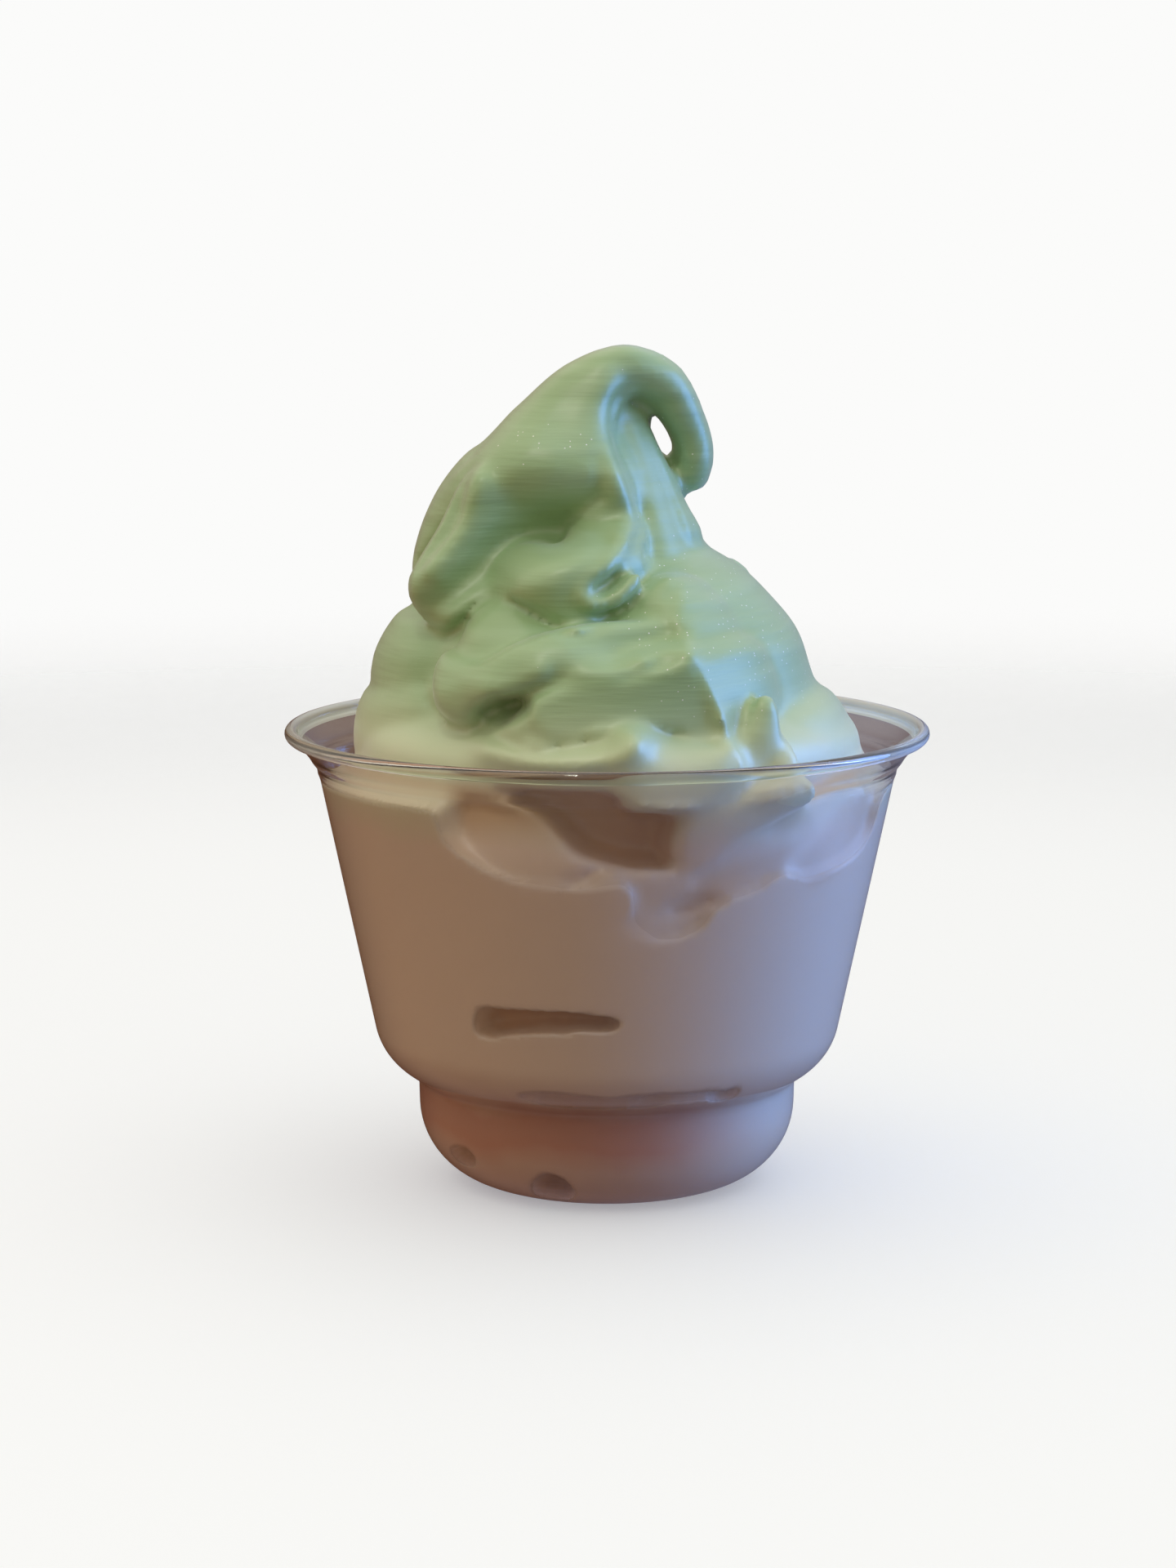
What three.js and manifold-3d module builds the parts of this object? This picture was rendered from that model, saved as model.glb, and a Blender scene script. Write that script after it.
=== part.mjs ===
// A clear plastic sundae cup filled with soft serve ice cream that rises above the rim in folds
// and ends in a curled tip. Millimetres, +Z up, front towards -Y, origin at the centre of the base.
import * as THREE from "three";
import { mergeVertices } from "three/addons/utils/BufferGeometryUtils.js";
import Module from "manifold-3d";

const wasm = await Module();
wasm.setup();

// Cup: driving dimensions, all on its outer face
const rimRadius = 48;
const cupHeight = 69;
const wallThickness = 0.6;
const beadRadius = 0.95;
const flareRadius = 43.2;
const flareHeight = 63.2;
const flareRound = 5;
const wallSlope = 0.21;
const shoulderSlope = 0.68;
const shoulderRound = 9.8;
const neckRadius = 28.4;
const neckHeight = 15.8;
const neckRound = 1.5;
const footRadius = 28;
const footRound = 12;

// Ice cream: driving dimensions
const wallGap = 0.3;
const fillTop = 66.5;
const layerRadius = 36.8;
const layerWave = 0.7;
const layerWaves = 5;
const layerPhase = 0.6;
const layerBlend = 6;
const layerCrest = 76;
const layerFullness = 0.8;
const layerLift = 0.85;
const domeRadius = 32.4;
const domeBase = 70;
const domeRise = 29;
const domeDrop = 8;
const domeShift = -0.8;
const slopeDepth = 3;
const hollowDepth = 5;
const hollowEdge = 2;
const frontHollow = 2.5;
const frontHollowSpan = 16;
const ringPower = 2.4;
const endTaper = 0.62;
const endTuck = 3.2;

// Fineness of the faceted surfaces
const turnSteps = 56;
const arcSteps = 3;
const beadSteps = 7;
const wallRowPitch = 2.2;
const layerRows = 6;
const domeAround = 32;
const domeRows = 14;
const foldAround = 12;
const foldStepsPerStation = 2;
const evenShare = 0.5;
const pocketSteps = 8;

const degrees = Math.PI / 180;

// Where the filling leaves the wall, going round: degrees from the front, height of the last
// contact, height where the slope above it ends
const contactLine = [
  [-174, 53, 60], [-150, 58, 64], [-122, 54, 61], [-95, 60, 64], [-62, 61.5, 65],
  [-37, 61.5, 65], [-30, 57, 62], [-22, 54, 59], [-13, 51, 55.5], [1, 50, 52],
  [7, 46, 49], [15, 44.5, 50], [31, 47, 57], [50, 47.2, 62], [62, 51, 63],
  [76, 60, 65], [110, 61, 65], [140, 55, 61], [160, 59, 64],
];

// Bands of ice cream lying nearer to the wall than the hollow behind them
const wallBands = [
  { from: 15, fromHeight: 57.5, to: 42, toHeight: 65.5, half: 2.6, soft: 2, fade: 0.12, near: 0.72 },
  { from: 12, fromHeight: 48.5, to: 62, toHeight: 58.5, half: 1.8, soft: 2.2, fade: 0.15, near: 0.45 },
  { from: 46, fromHeight: 52, to: 66, toHeight: 60, half: 1.6, soft: 2, fade: 0.2, near: 0.5 },
];

// Folds that follow a path. Stations: x, y, z, half depth along the side axis, half width across it
const pathFolds = {
  arch: {
    side: [0, 1, 0],
    power: 2.9,
    stations: [
      [-13.8, 1, 80, 12, 15.2], [-14, 1, 89, 11, 15.4], [-12.4, -0.2, 97, 10.5, 14.6],
      [-8.9, -3.2, 105, 12.3, 12], [-6.2, -3.6, 112, 10.4, 8.6], [-2.8, -4, 118.1, 7.8, 5.6],
      [2.5, -4, 121.8, 6, 3.6], [8.4, -4, 120.2, 5.4, 2.9], [11.9, -3.6, 114.8, 4.8, 2.6],
      [13, -2.6, 109.4, 4.4, 2.8], [11.6, -1.6, 104, 3.4, 2.6],
    ],
  },
  web: {
    side: [0, 1, 0],
    power: 2,
    stations: [
      [0.5, 2.5, 119, 3, 6], [2.8, 3, 114.5, 3.6, 5.8], [3.6, 3, 109.5, 4.5, 6.2],
      [4.8, 2.5, 104, 6, 6.4], [6, 1, 98, 9, 6.4], [8, 0, 91, 13, 9], [10, 0, 84, 16, 12],
    ],
  },
  drape: {
    side: [0, 1, 0],
    power: 2.6,
    stations: [
      [-9.5, -9.5, 108, 3, 6], [-13, -11, 102, 4, 9], [-17.6, -13.2, 95.5, 5, 8.2],
      [-23.4, -16, 89.6, 5, 6.2], [-26, -17, 86, 4, 4.2],
    ],
  },
  collar: {
    side: [0, 1, 0],
    power: 2.2,
    stations: [
      [-17, -12, 91.5, 4.5, 4], [-11.5, -16.5, 92, 5.5, 5.6], [-5.6, -20.6, 91.5, 6.5, 6.2],
      [-0.8, -20.3, 93, 5, 4.6], [0.6, -13, 99.5, 5, 3.6],
    ],
  },
  lip: {
    side: [0, 1, 0],
    power: 2,
    stations: [
      [6, -6, 120.6, 1.6, 1.5], [1.4, -7, 118.4, 1.9, 1.7], [-0.9, -8.5, 114, 2.4, 1.9],
      [-0.8, -9.5, 110, 2.7, 2.1], [1, -10.5, 105, 2.8, 2.2], [1.8, -12.5, 100.5, 2.4, 2.1],
      [1.4, -18, 96.8, 1.8, 1.8], [-1.2, -24, 95, 1.6, 1.5], [-3.6, -26.5, 92.2, 1.6, 1.45],
      [-2, -27.5, 89.2, 1.6, 1.45], [1.6, -27.5, 89, 1.6, 1.4], [4.2, -26, 91.2, 1.6, 1.35],
      [4.9, -23, 94.2, 1.6, 1.3],
    ],
  },
  nape: {
    side: [0, 0, 1],
    power: 2,
    stations: [
      [11, 4, 92, 4, 3.5], [5, 11, 94, 5.5, 5], [-6, 14.5, 96.5, 6.5, 5.5],
      [-17, 11, 97.5, 6, 5], [-22.5, 3, 95, 4, 4],
    ],
  },
  crest: {
    side: [0, 0, 1],
    power: 2,
    stations: [
      [6, 4.5, 103, 4, 3], [-1, 8.5, 106.5, 5, 4], [-9, 8.6, 109, 5.5, 4], [-15, 4, 106, 4.5, 3.5],
    ],
  },
  spike: {
    side: [0.6, 0.8, 0],
    power: 2,
    stations: [[19.6, -27, 65, 4.5, 5], [20.8, -29.4, 70.5, 2.8, 3.6], [22.2, -30.6, 76.8, 1.1, 0.9]],
  },
  frontLump: {
    side: [0, 1, 0],
    power: 2,
    stations: [[3.4, -30, 64, 6, 9], [4, -33.5, 70, 4.4, 6.8], [4.8, -34.8, 74.6, 2, 2.4]],
  },
};

// Folds laid round the axis. Stations: degrees from the front, radius, height, half height,
// half thickness, lean towards the axis in degrees
const ringFolds = {
  upperFold: [
    [-47, 27, 82, 4.5, 3, 35], [-38, 28, 84, 6.5, 4, 36], [-26, 27.6, 83.5, 6.8, 4, 38],
    [-10, 28, 80, 6, 4, 32], [0, 27.2, 81, 6.5, 4, 34], [10, 26, 84, 8, 4, 42],
    [19, 25.2, 85.8, 9, 4.2, 44], [27, 24.6, 86.6, 8.5, 4, 44], [31, 24.2, 86.6, 7, 2.8, 44],
  ],
  hemLeft: [
    [-48, 31, 79.5, 4, 3, 15], [-40, 33.2, 77.6, 5, 4.2, 6], [-31, 33.6, 78, 4.4, 4.2, 8],
    [-23, 33, 80.8, 4, 3.8, 14], [-14, 32, 82.8, 3.9, 3.4, 20], [-3, 30.6, 84, 3.8, 3, 28],
    [9, 29, 84.6, 3.4, 2.6, 32], [20, 27.6, 85.6, 3, 2.4, 36],
  ],
  hemRight: [
    [-31, 32, 71.6, 1.4, 2.2, 5], [-24, 33, 72, 2.2, 3, 5], [-17, 33.6, 74, 4, 3.8, 8],
    [-8, 33.6, 76.4, 6.2, 4.4, 12], [0, 33.4, 76.8, 6.4, 4.4, 12], [8, 32.4, 79.2, 5.4, 3.8, 18],
    [18, 31.8, 78.6, 6.8, 4, 18], [26, 31.4, 77.4, 7.6, 4.4, 16], [31, 30.2, 78.4, 7, 3.2, 18],
  ],
  rimRight: waveStations({
    from: 43, to: 118, count: 6, radius: 32.8, swell: 0.8, height: 68.6, sway: -0.6, waves: 0.9,
    halfHeight: 6.2, halfThick: 4.5, lean: 11,
  }),
  rimLeft: waveStations({
    from: -112, to: -45, count: 6, radius: 32.6, swell: -0.7, height: 70.6, sway: 1.2, waves: 1.1,
    halfHeight: 6.3, halfThick: 4.5, lean: 10,
  }),
  sideLeft: waveStations({
    from: -118, to: -50, count: 6, radius: 29.8, swell: -0.6, height: 80, sway: 0.8, waves: 0.8,
    halfHeight: 7, halfThick: 4.2, lean: 22,
  }),
  rimBack: waveStations({
    from: 116, to: 230, count: 8, radius: 33, swell: -0.9, height: 70.2, sway: 0.9, waves: 2.2,
    halfHeight: 6, halfThick: 4.4, lean: 10,
  }),
  backLower: waveStations({
    from: 105, to: 245, count: 11, radius: 31.7, swell: -1, height: 78.2, sway: 1.8, waves: 3.3,
    halfHeight: 6.2, halfThick: 3.9, lean: 17,
  }),
  backUpper: waveStations({
    from: 112, to: 262, count: 10, radius: 25.2, swell: -0.7, height: 88, sway: 1.2, waves: 2.3,
    halfHeight: 6.4, halfThick: 4, lean: 43,
  }),
};

// Air pockets pressed into the filling where it meets the wall: degrees, height, half lengths
// round and up the wall, depth
const airPockets = [
  { at: -14, height: 31.1, halfRound: 10, halfUp: 1.9, depth: 2.2 },
  { at: 1, height: 19.6, halfRound: 13, halfUp: 0.9, depth: 1.6 },
  { at: -46.7, height: 7.9, halfRound: 2, halfUp: 1.6, depth: 1.5 },
  { at: -18, height: 4.3, halfRound: 2.6, halfUp: 1.6, depth: 1.6 },
];

// Stations of a fold whose height and radius rise and fall as it goes round. Its ends are thinner
// and sink into the heap
function waveStations(fold) {
  return Array.from({ length: fold.count }, (_, i) => {
    const k = i / (fold.count - 1);
    const wave = Math.cos(2 * Math.PI * fold.waves * k);
    const middle = Math.sqrt(Math.abs(Math.sin(Math.PI * k)));
    const full = endTaper + (1 - endTaper) * middle;
    return [
      fold.from + (fold.to - fold.from) * k,
      fold.radius + fold.swell * wave - endTuck * (1 - middle),
      fold.height + fold.sway * wave,
      fold.halfHeight * full,
      fold.halfThick * full,
      fold.lean,
    ];
  });
}

function ease(t) {
  const k = THREE.MathUtils.clamp(t, 0, 1);
  return k * k * (3 - 2 * k);
}

// Angle in degrees brought into -180 to 180
function wrap(angle) {
  return THREE.MathUtils.euclideanModulo(angle + 180, 360) - 180;
}

// Half profile through corners [radius, height, round], each corner replaced by a tangent arc
function roundedProfile(corners) {
  const line = [corners[0]];
  for (let i = 1; i < corners.length - 1; i++) {
    const corner = new THREE.Vector2(corners[i][0], corners[i][1]);
    const back = new THREE.Vector2(corners[i - 1][0], corners[i - 1][1]).sub(corner).normalize();
    const ahead = new THREE.Vector2(corners[i + 1][0], corners[i + 1][1]).sub(corner).normalize();
    const half = Math.acos(back.dot(ahead)) / 2;
    const round = corners[i][2];
    const centre = back.clone().add(ahead).normalize().multiplyScalar(round / Math.sin(half)).add(corner);
    const start = back.clone().multiplyScalar(round / Math.tan(half)).add(corner).sub(centre).angle();
    const end = ahead.clone().multiplyScalar(round / Math.tan(half)).add(corner).sub(centre).angle();
    const turn = wrap((end - start) / degrees) * degrees;
    for (let k = 0; k <= arcSteps; k++) {
      const angle = start + (turn * k) / arcSteps;
      line.push([centre.x + round * Math.cos(angle), centre.y + round * Math.sin(angle)]);
    }
  }
  line.push(corners[corners.length - 1]);
  return line.map(([radius, height]) => new THREE.Vector2(radius, height));
}

// The same profile moved inwards by a distance, square to its own direction
function insetProfile(line, distance) {
  return line.map((point, i) => {
    const before = line[Math.max(i - 1, 0)];
    const after = line[Math.min(i + 1, line.length - 1)];
    const along = after.clone().sub(before).normalize();
    return new THREE.Vector2(point.x - along.y * distance, point.y + along.x * distance);
  });
}

// Corner where the shoulder's underside meets the wall, from the two slopes
const shoulderRadius =
  (flareRadius + wallSlope * (neckHeight - shoulderSlope * neckRadius - flareHeight)) /
  (1 - wallSlope * shoulderSlope);
const shoulderHeight = neckHeight + shoulderSlope * (shoulderRadius - neckRadius);
const beadCentre = new THREE.Vector2(rimRadius - beadRadius, cupHeight - beadRadius);

const cupLine = roundedProfile([
  [0, 0, 0],
  [footRadius, 0, footRound],
  [neckRadius, neckHeight, neckRound],
  [shoulderRadius, shoulderHeight, shoulderRound],
  [flareRadius, flareHeight, flareRound],
  [beadCentre.x, beadCentre.y, 0],
]);

// One wall of even thickness, closed at the lip by a rolled bead
function cupGeometry() {
  const flareEnd = cupLine[cupLine.length - 2];
  const flare = beadCentre.clone().sub(flareEnd).normalize();
  const inside = insetProfile(cupLine, wallThickness).slice(0, -1);
  inside[0].x = 0;
  const run = Math.sqrt(beadRadius ** 2 - wallThickness ** 2);
  const outerJoin = flare.clone().negate();
  const innerJoin = new THREE.Vector2(-flare.y, flare.x)
    .multiplyScalar(wallThickness)
    .sub(flare.clone().multiplyScalar(run));
  const start = outerJoin.angle();
  const turn = THREE.MathUtils.euclideanModulo(innerJoin.angle() - start, 2 * Math.PI);
  const bead = Array.from({ length: beadSteps + 1 }, (_, k) => {
    const angle = start + (turn * k) / beadSteps;
    return new THREE.Vector2(
      beadCentre.x + beadRadius * Math.cos(angle),
      beadCentre.y + beadRadius * Math.sin(angle),
    );
  });
  const section = [...cupLine.slice(0, -1), ...bead, ...inside.reverse()];
  return new THREE.LatheGeometry(section, turnSteps).rotateX(Math.PI / 2);
}

// A sphere's grid of vertices carried to surface(u, v): u goes round, v from pole to pole
function closedSurface(surface, around, along) {
  const geometry = new THREE.SphereGeometry(1, around, along);
  const { uv, position } = geometry.attributes;
  for (let i = 0; i < position.count; i++) {
    const row = Math.round((1 - uv.getY(i)) * along);
    const column = Math.floor(uv.getX(i) * around + 0.25) % around;
    const point = surface(column / around, row / along);
    position.setXYZ(i, point.x, point.y, point.z);
  }
  geometry.deleteAttribute("normal");
  geometry.deleteAttribute("uv");
  return mergeVertices(geometry);
}

// Point at an angle from the front, a radius and a height
function polar(angle, radius, height) {
  return new THREE.Vector3(radius * Math.sin(angle), -radius * Math.cos(angle), height);
}

// Eased value of a column of a table whose rows go round the axis
function roundTable(rows, angle, column) {
  const after = rows.findIndex((row) => row[0] > angle);
  const next = rows[Math.max(after, 0)];
  const last = after > 0 ? rows[after - 1] : rows[rows.length - 1];
  const span = THREE.MathUtils.euclideanModulo(next[0] - last[0], 360);
  const k = ease(THREE.MathUtils.euclideanModulo(angle - last[0], 360) / span);
  return last[column] + (next[column] - last[column]) * k;
}

// How far the filling stands back from the wall at an angle and a height
function standBack(angle, height, wallRadius) {
  const contact = roundTable(contactLine, angle, 1);
  const slopeTop = roundTable(contactLine, angle, 2);
  let depth = slopeDepth * ease((height - contact) / (slopeTop - contact));
  depth += hollowDepth * ease((height - slopeTop) / hollowEdge);
  for (const band of wallBands) {
    const k = (angle - band.from) / (band.to - band.from);
    const middle = band.fromHeight + (band.toHeight - band.fromHeight) * k;
    const across = ease((band.half + band.soft - Math.abs(height - middle)) / band.soft);
    const along = ease((k + band.fade) / band.fade) * ease((1 + band.fade - k) / band.fade);
    depth *= 1 - band.near * across * along;
  }
  const room = Math.max(wallRadius - layerRadiusAt(angle), 0);
  const hollow = frontHollow * Math.exp(-((angle / frontHollowSpan) ** 2));
  const upper = ease((height - fillTop + layerBlend) / layerBlend);
  return Math.min(depth, room + hollow) * (1 - upper) + room * upper;
}

function layerRadiusAt(angle) {
  return layerRadius + layerWave * Math.sin(layerWaves * angle * degrees + layerPhase);
}

// The filling: pressed to the cup below, drawn in above the contact line, domed over the rim
function fillingGeometry() {
  const inside = insetProfile(cupLine, wallThickness + wallGap);
  const contactFloor = Math.min(...contactLine.map((row) => row[1]));
  const rows = inside.filter((point) => point.y < contactFloor).slice(1);
  const steps = Math.ceil((fillTop - contactFloor) / wallRowPitch);
  for (let i = 0; i <= steps; i++) {
    const height = contactFloor + ((fillTop - contactFloor) * i) / steps;
    rows.push(new THREE.Vector2(radiusAt(inside, height), height));
  }
  const along = layerRows + rows.length;
  const surface = (u, v) => {
    const row = Math.round((1 - v) * along);
    const angle = wrap(360 * u);
    if (row === 0) return new THREE.Vector3(0, 0, rows[0].y);
    if (row === along) return new THREE.Vector3(0, 0, layerCrest);
    const level = rows[Math.min(row, rows.length) - 1];
    const radius = level.x - standBack(angle, level.y, level.x);
    if (row <= rows.length) return polar(angle * degrees, radius, level.y);
    const rise = ((row - rows.length) / layerRows) * (Math.PI / 2);
    const height = fillTop + (layerCrest - fillTop) * Math.sin(rise) ** layerLift;
    return polar(angle * degrees, radius * Math.cos(rise) ** layerFullness, height);
  };
  return closedSurface(surface, turnSteps, along);
}

// Radius of a profile at a height, on its straight runs
function radiusAt(line, height) {
  const i = line.findIndex((point) => point.y > height);
  const k = (height - line[i - 1].y) / (line[i].y - line[i - 1].y);
  return THREE.MathUtils.lerp(line[i - 1].x, line[i].x, k);
}

// Rounded heap that carries the upper folds
function domeGeometry() {
  const surface = (u, v) => {
    const tilt = (0.5 - v) * Math.PI;
    const across = v === 0 || v === 1 ? 0 : domeRadius * Math.cos(tilt);
    const rise = tilt > 0 ? domeRise : domeDrop;
    const point = polar(2 * Math.PI * u, across, domeBase + rise * Math.sin(tilt));
    point.x += domeShift;
    return point;
  };
  return closedSurface(surface, domeAround, domeRows);
}

// Value of every column of a station table at k from 0 to 1, on Catmull-Rom curves
function stationAt(stations, k) {
  const place = k * (stations.length - 1);
  const i = Math.min(Math.floor(place), stations.length - 2);
  const f = place - i;
  return stations[0].map((_, column) => {
    const b = stations[i][column];
    const c = stations[i + 1][column];
    const a = i > 0 ? stations[i - 1][column] : 2 * b - c;
    const d = i < stations.length - 2 ? stations[i + 2][column] : 2 * c - b;
    const bend = 2 * a - 5 * b + 4 * c - d;
    const twist = 3 * b - a - 3 * c + d;
    return b + 0.5 * ((c - a) * f + bend * f ** 2 + twist * f ** 3);
  });
}

// A superellipse section carried along a path of stations, with rounded ends. frameAt(k) gives the
// centre, the two axes of the section and its two half sizes
function foldGeometry(frameAt, power, along) {
  const lengths = [0];
  for (let i = 1; i <= along; i++) {
    const step = frameAt(i / along).centre.distanceTo(frameAt((i - 1) / along).centre);
    lengths.push(lengths[i - 1] + step);
  }
  const capStart = Math.min(...frameAt(0).half);
  const capEnd = Math.min(...frameAt(1).half);
  const bulge = (distance, cap) => Math.sqrt(1 - (1 - Math.min(distance / cap, 1)) ** 2);
  const rounded = (value) => Math.sign(value) * Math.abs(value) ** (2 / power);
  const surface = (u, v) => {
    const row = Math.round(v * along);
    const { centre, axes, half } = frameAt(v);
    const size = bulge(lengths[row], capStart) * bulge(lengths[along] - lengths[row], capEnd);
    const turn = -2 * Math.PI * u;
    return centre
      .addScaledVector(axes[0], size * half[0] * rounded(Math.cos(turn)))
      .addScaledVector(axes[1], size * half[1] * rounded(Math.sin(turn)));
  };
  return closedSurface(surface, foldAround, along);
}

// Rows crowd towards both ends, where the fold rounds off
function crowd(k) {
  const crowded = (1 - Math.cos(Math.PI * k)) / 2;
  return THREE.MathUtils.lerp(crowded, k, evenShare);
}

function pathFoldGeometry({ side, power, stations }) {
  const sideAxis = new THREE.Vector3(...side);
  const centreAt = (k) => new THREE.Vector3(...stationAt(stations, k).slice(0, 3));
  const frameAt = (v) => {
    const k = crowd(v);
    const tiny = 1e-3;
    const tangent = centreAt(Math.min(k + tiny, 1)).sub(centreAt(Math.max(k - tiny, 0))).normalize();
    const first = sideAxis.clone().addScaledVector(tangent, -sideAxis.dot(tangent)).normalize();
    const second = tangent.clone().cross(first);
    const [, , , halfDepth, halfWidth] = stationAt(stations, k);
    return { centre: centreAt(k), axes: [first, second], half: [halfDepth, halfWidth] };
  };
  return foldGeometry(frameAt, power, foldStepsPerStation * stations.length);
}

function ringFoldGeometry(stations) {
  const frameAt = (v) => {
    const [angle, radius, height, halfHeight, halfThick, lean] = stationAt(stations, crowd(v));
    const outward = polar(angle * degrees, 1, 0);
    const up = new THREE.Vector3(0, 0, 1);
    const rising = up.clone().multiplyScalar(Math.cos(lean * degrees));
    rising.addScaledVector(outward, -Math.sin(lean * degrees));
    const facing = outward.clone().multiplyScalar(Math.cos(lean * degrees));
    facing.addScaledVector(up, Math.sin(lean * degrees));
    return {
      centre: polar(angle * degrees, radius, height),
      axes: [rising, facing],
      half: [halfHeight, halfThick],
    };
  };
  return foldGeometry(frameAt, ringPower, foldStepsPerStation * stations.length);
}

// Flat rounded pad that cuts one air pocket out of the filling at the wall
function pocketGeometry({ at, height, halfRound, halfUp, depth }) {
  const inside = insetProfile(cupLine, wallThickness + wallGap);
  const pad = new THREE.SphereGeometry(1, pocketSteps, pocketSteps);
  pad.deleteAttribute("normal");
  pad.deleteAttribute("uv");
  const middle = polar(at * degrees, radiusAt(inside, height), height);
  const solid = mergeVertices(pad).scale(halfRound, depth, halfUp);
  return solid.rotateZ(at * degrees).translate(middle.x, middle.y, middle.z);
}

function toSolid(geometry) {
  const vertProperties = new Float32Array(geometry.attributes.position.array);
  const triVerts = new Uint32Array(geometry.index.array);
  return new wasm.Manifold(new wasm.Mesh({ numProp: 3, vertProperties, triVerts }));
}

function toGeometry(solid) {
  const mesh = solid.getMesh();
  const geometry = new THREE.BufferGeometry();
  geometry.setAttribute("position", new THREE.BufferAttribute(mesh.vertProperties, 3));
  geometry.setIndex(new THREE.BufferAttribute(mesh.triVerts, 1));
  geometry.computeVertexNormals();
  return geometry;
}

// One body of ice cream: filling, heap and folds joined, pockets cut, sealed gaps between folds filled
function softServeGeometry() {
  let solid = toSolid(fillingGeometry()).add(toSolid(domeGeometry()));
  for (const fold of Object.values(pathFolds)) {
    solid = solid.add(toSolid(pathFoldGeometry(fold)));
  }
  for (const stations of Object.values(ringFolds)) {
    solid = solid.add(toSolid(ringFoldGeometry(stations)));
  }
  for (const pocket of airPockets) {
    solid = solid.subtract(toSolid(pocketGeometry(pocket)));
  }
  const shells = solid.decompose();
  return toGeometry(shells.reduce((best, shell) => (shell.volume() > best.volume() ? shell : best)));
}

const clearPlastic = new THREE.MeshStandardMaterial({
  color: "#e4e8ea",
  roughness: 0.08,
  metalness: 0,
  transparent: true,
  opacity: 0.25,
});
const pistachioCream = new THREE.MeshStandardMaterial({ color: "#a7b28c", roughness: 0.42, metalness: 0 });

const cup = new THREE.Mesh(cupGeometry(), clearPlastic);
cup.name = "cup";

const softServe = new THREE.Mesh(softServeGeometry(), pistachioCream);
softServe.name = "soft_serve";

const iceCreamCup = new THREE.Group();
iceCreamCup.add(cup, softServe);

export default iceCreamCup;
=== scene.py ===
import math

import bpy
import numpy as np
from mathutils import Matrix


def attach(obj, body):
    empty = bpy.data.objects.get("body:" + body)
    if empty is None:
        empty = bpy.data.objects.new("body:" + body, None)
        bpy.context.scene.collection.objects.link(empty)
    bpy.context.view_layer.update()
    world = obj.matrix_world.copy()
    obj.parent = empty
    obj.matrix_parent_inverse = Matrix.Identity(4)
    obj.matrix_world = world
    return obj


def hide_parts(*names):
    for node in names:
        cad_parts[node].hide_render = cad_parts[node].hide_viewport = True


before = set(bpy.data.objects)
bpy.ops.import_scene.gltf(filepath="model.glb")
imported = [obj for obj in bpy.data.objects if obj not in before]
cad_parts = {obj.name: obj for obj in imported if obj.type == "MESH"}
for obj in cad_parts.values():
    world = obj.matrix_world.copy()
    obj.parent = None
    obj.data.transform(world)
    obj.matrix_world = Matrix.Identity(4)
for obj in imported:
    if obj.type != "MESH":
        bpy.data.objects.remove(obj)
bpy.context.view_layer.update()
mm = 0.001      # sizes below are in millimetres
scene = bpy.context.scene

# camera, fitted to the rim's and the foot's ellipses: place, sensor and the reach to the plane through the
# axis in mm, pitch in degrees downwards, focal and image height in pixels, clip in metres
camera = dict(place=(-2.83, -550.0, 148.3), pitch=9.14, focal=4559.0, imageHeight=1920.0, sensor=36.0,
              reach=556.0, clip=(0.01, 20.0))
print("frame loaded:", sorted(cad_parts))


# sRGB hex to linear, by the sRGB curve
def linear(hexColour, alpha=1.0):
    parts = [int(hexColour[i:i + 2], 16) / 255 for i in (1, 3, 5)]
    return tuple(c / 12.92 if c <= 0.04045 else ((c + 0.055) / 1.055) ** 2.4 for c in parts) + (alpha,)


# one node: its properties, its plain sockets, what feeds it and its colour stops; a colour Mix has its
# share at socket 0, its two colours at 6 and 7, and gives the blend at output 2
def addNode(tree, kind, props=None, sockets=None, links=None, stops=None):
    node = tree.nodes.new("ShaderNode" + kind)
    for key, value in (props or {}).items():
        setattr(node, key, value)
    for key, value in (sockets or {}).items():
        node.inputs[key].default_value = value
    for key, source in (links or {}).items():
        tree.links.new(source, node.inputs[key])
    for i, (place, colour) in enumerate(stops or []):
        element = node.color_ramp.elements[i] if i < 2 else node.color_ramp.elements.new(place)
        element.position = place
        element.color = colour
    return node


# a material with an empty node tree
def newMaterial(name):
    material = bpy.data.materials.new(name)
    material.use_nodes = True
    material.node_tree.nodes.clear()
    return material, material.node_tree


# 3t^2 - 2t^3 between 0 and 1, flat outside
def smooth(t):
    t = np.clip(t, 0, 1)
    return t * t * (3 - 2 * t)


# quarter circle sqrt(1 - (1 - t)^2) between 0 and 1, flat outside
def quarterCircle(t):
    return np.sqrt(1 - (1 - np.clip(t, 0, 1)) ** 2)


# a point's place on the plane square to the view through the axis, seen from the camera: millimetres
# right of the view's middle and above it
def sightPlane(points):
    tilt = math.radians(camera["pitch"])
    x, y, z = np.moveaxis(points - np.array(camera["place"]), -1, 0)
    scale = camera["reach"] / (y * math.cos(tilt) - z * math.sin(tilt))
    return np.stack([x * scale, (y * math.sin(tilt) + z * math.cos(tilt)) * scale], -1)


# nearest place on a drawn line: distance, side (left of its way is +1) and share of the line's length
def lineDistance(flat, line):
    start, way = line[:-1], np.diff(line, axis=0)
    size = np.linalg.norm(way, axis=1)
    share = np.clip(((flat[:, None] - start) * way).sum(-1) / size ** 2, 0, 1)
    off = flat[:, None] - start - share[..., None] * way
    distance = np.linalg.norm(off, axis=-1)
    near = distance.argmin(1)[:, None]
    side = np.sign(way[:, 0] * off[..., 1] - way[:, 1] * off[..., 0])
    run = (np.cumsum(size) - size + share * size) / size.sum()
    return [np.take_along_axis(value, near, 1)[:, 0] for value in (distance, side, run)]


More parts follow.
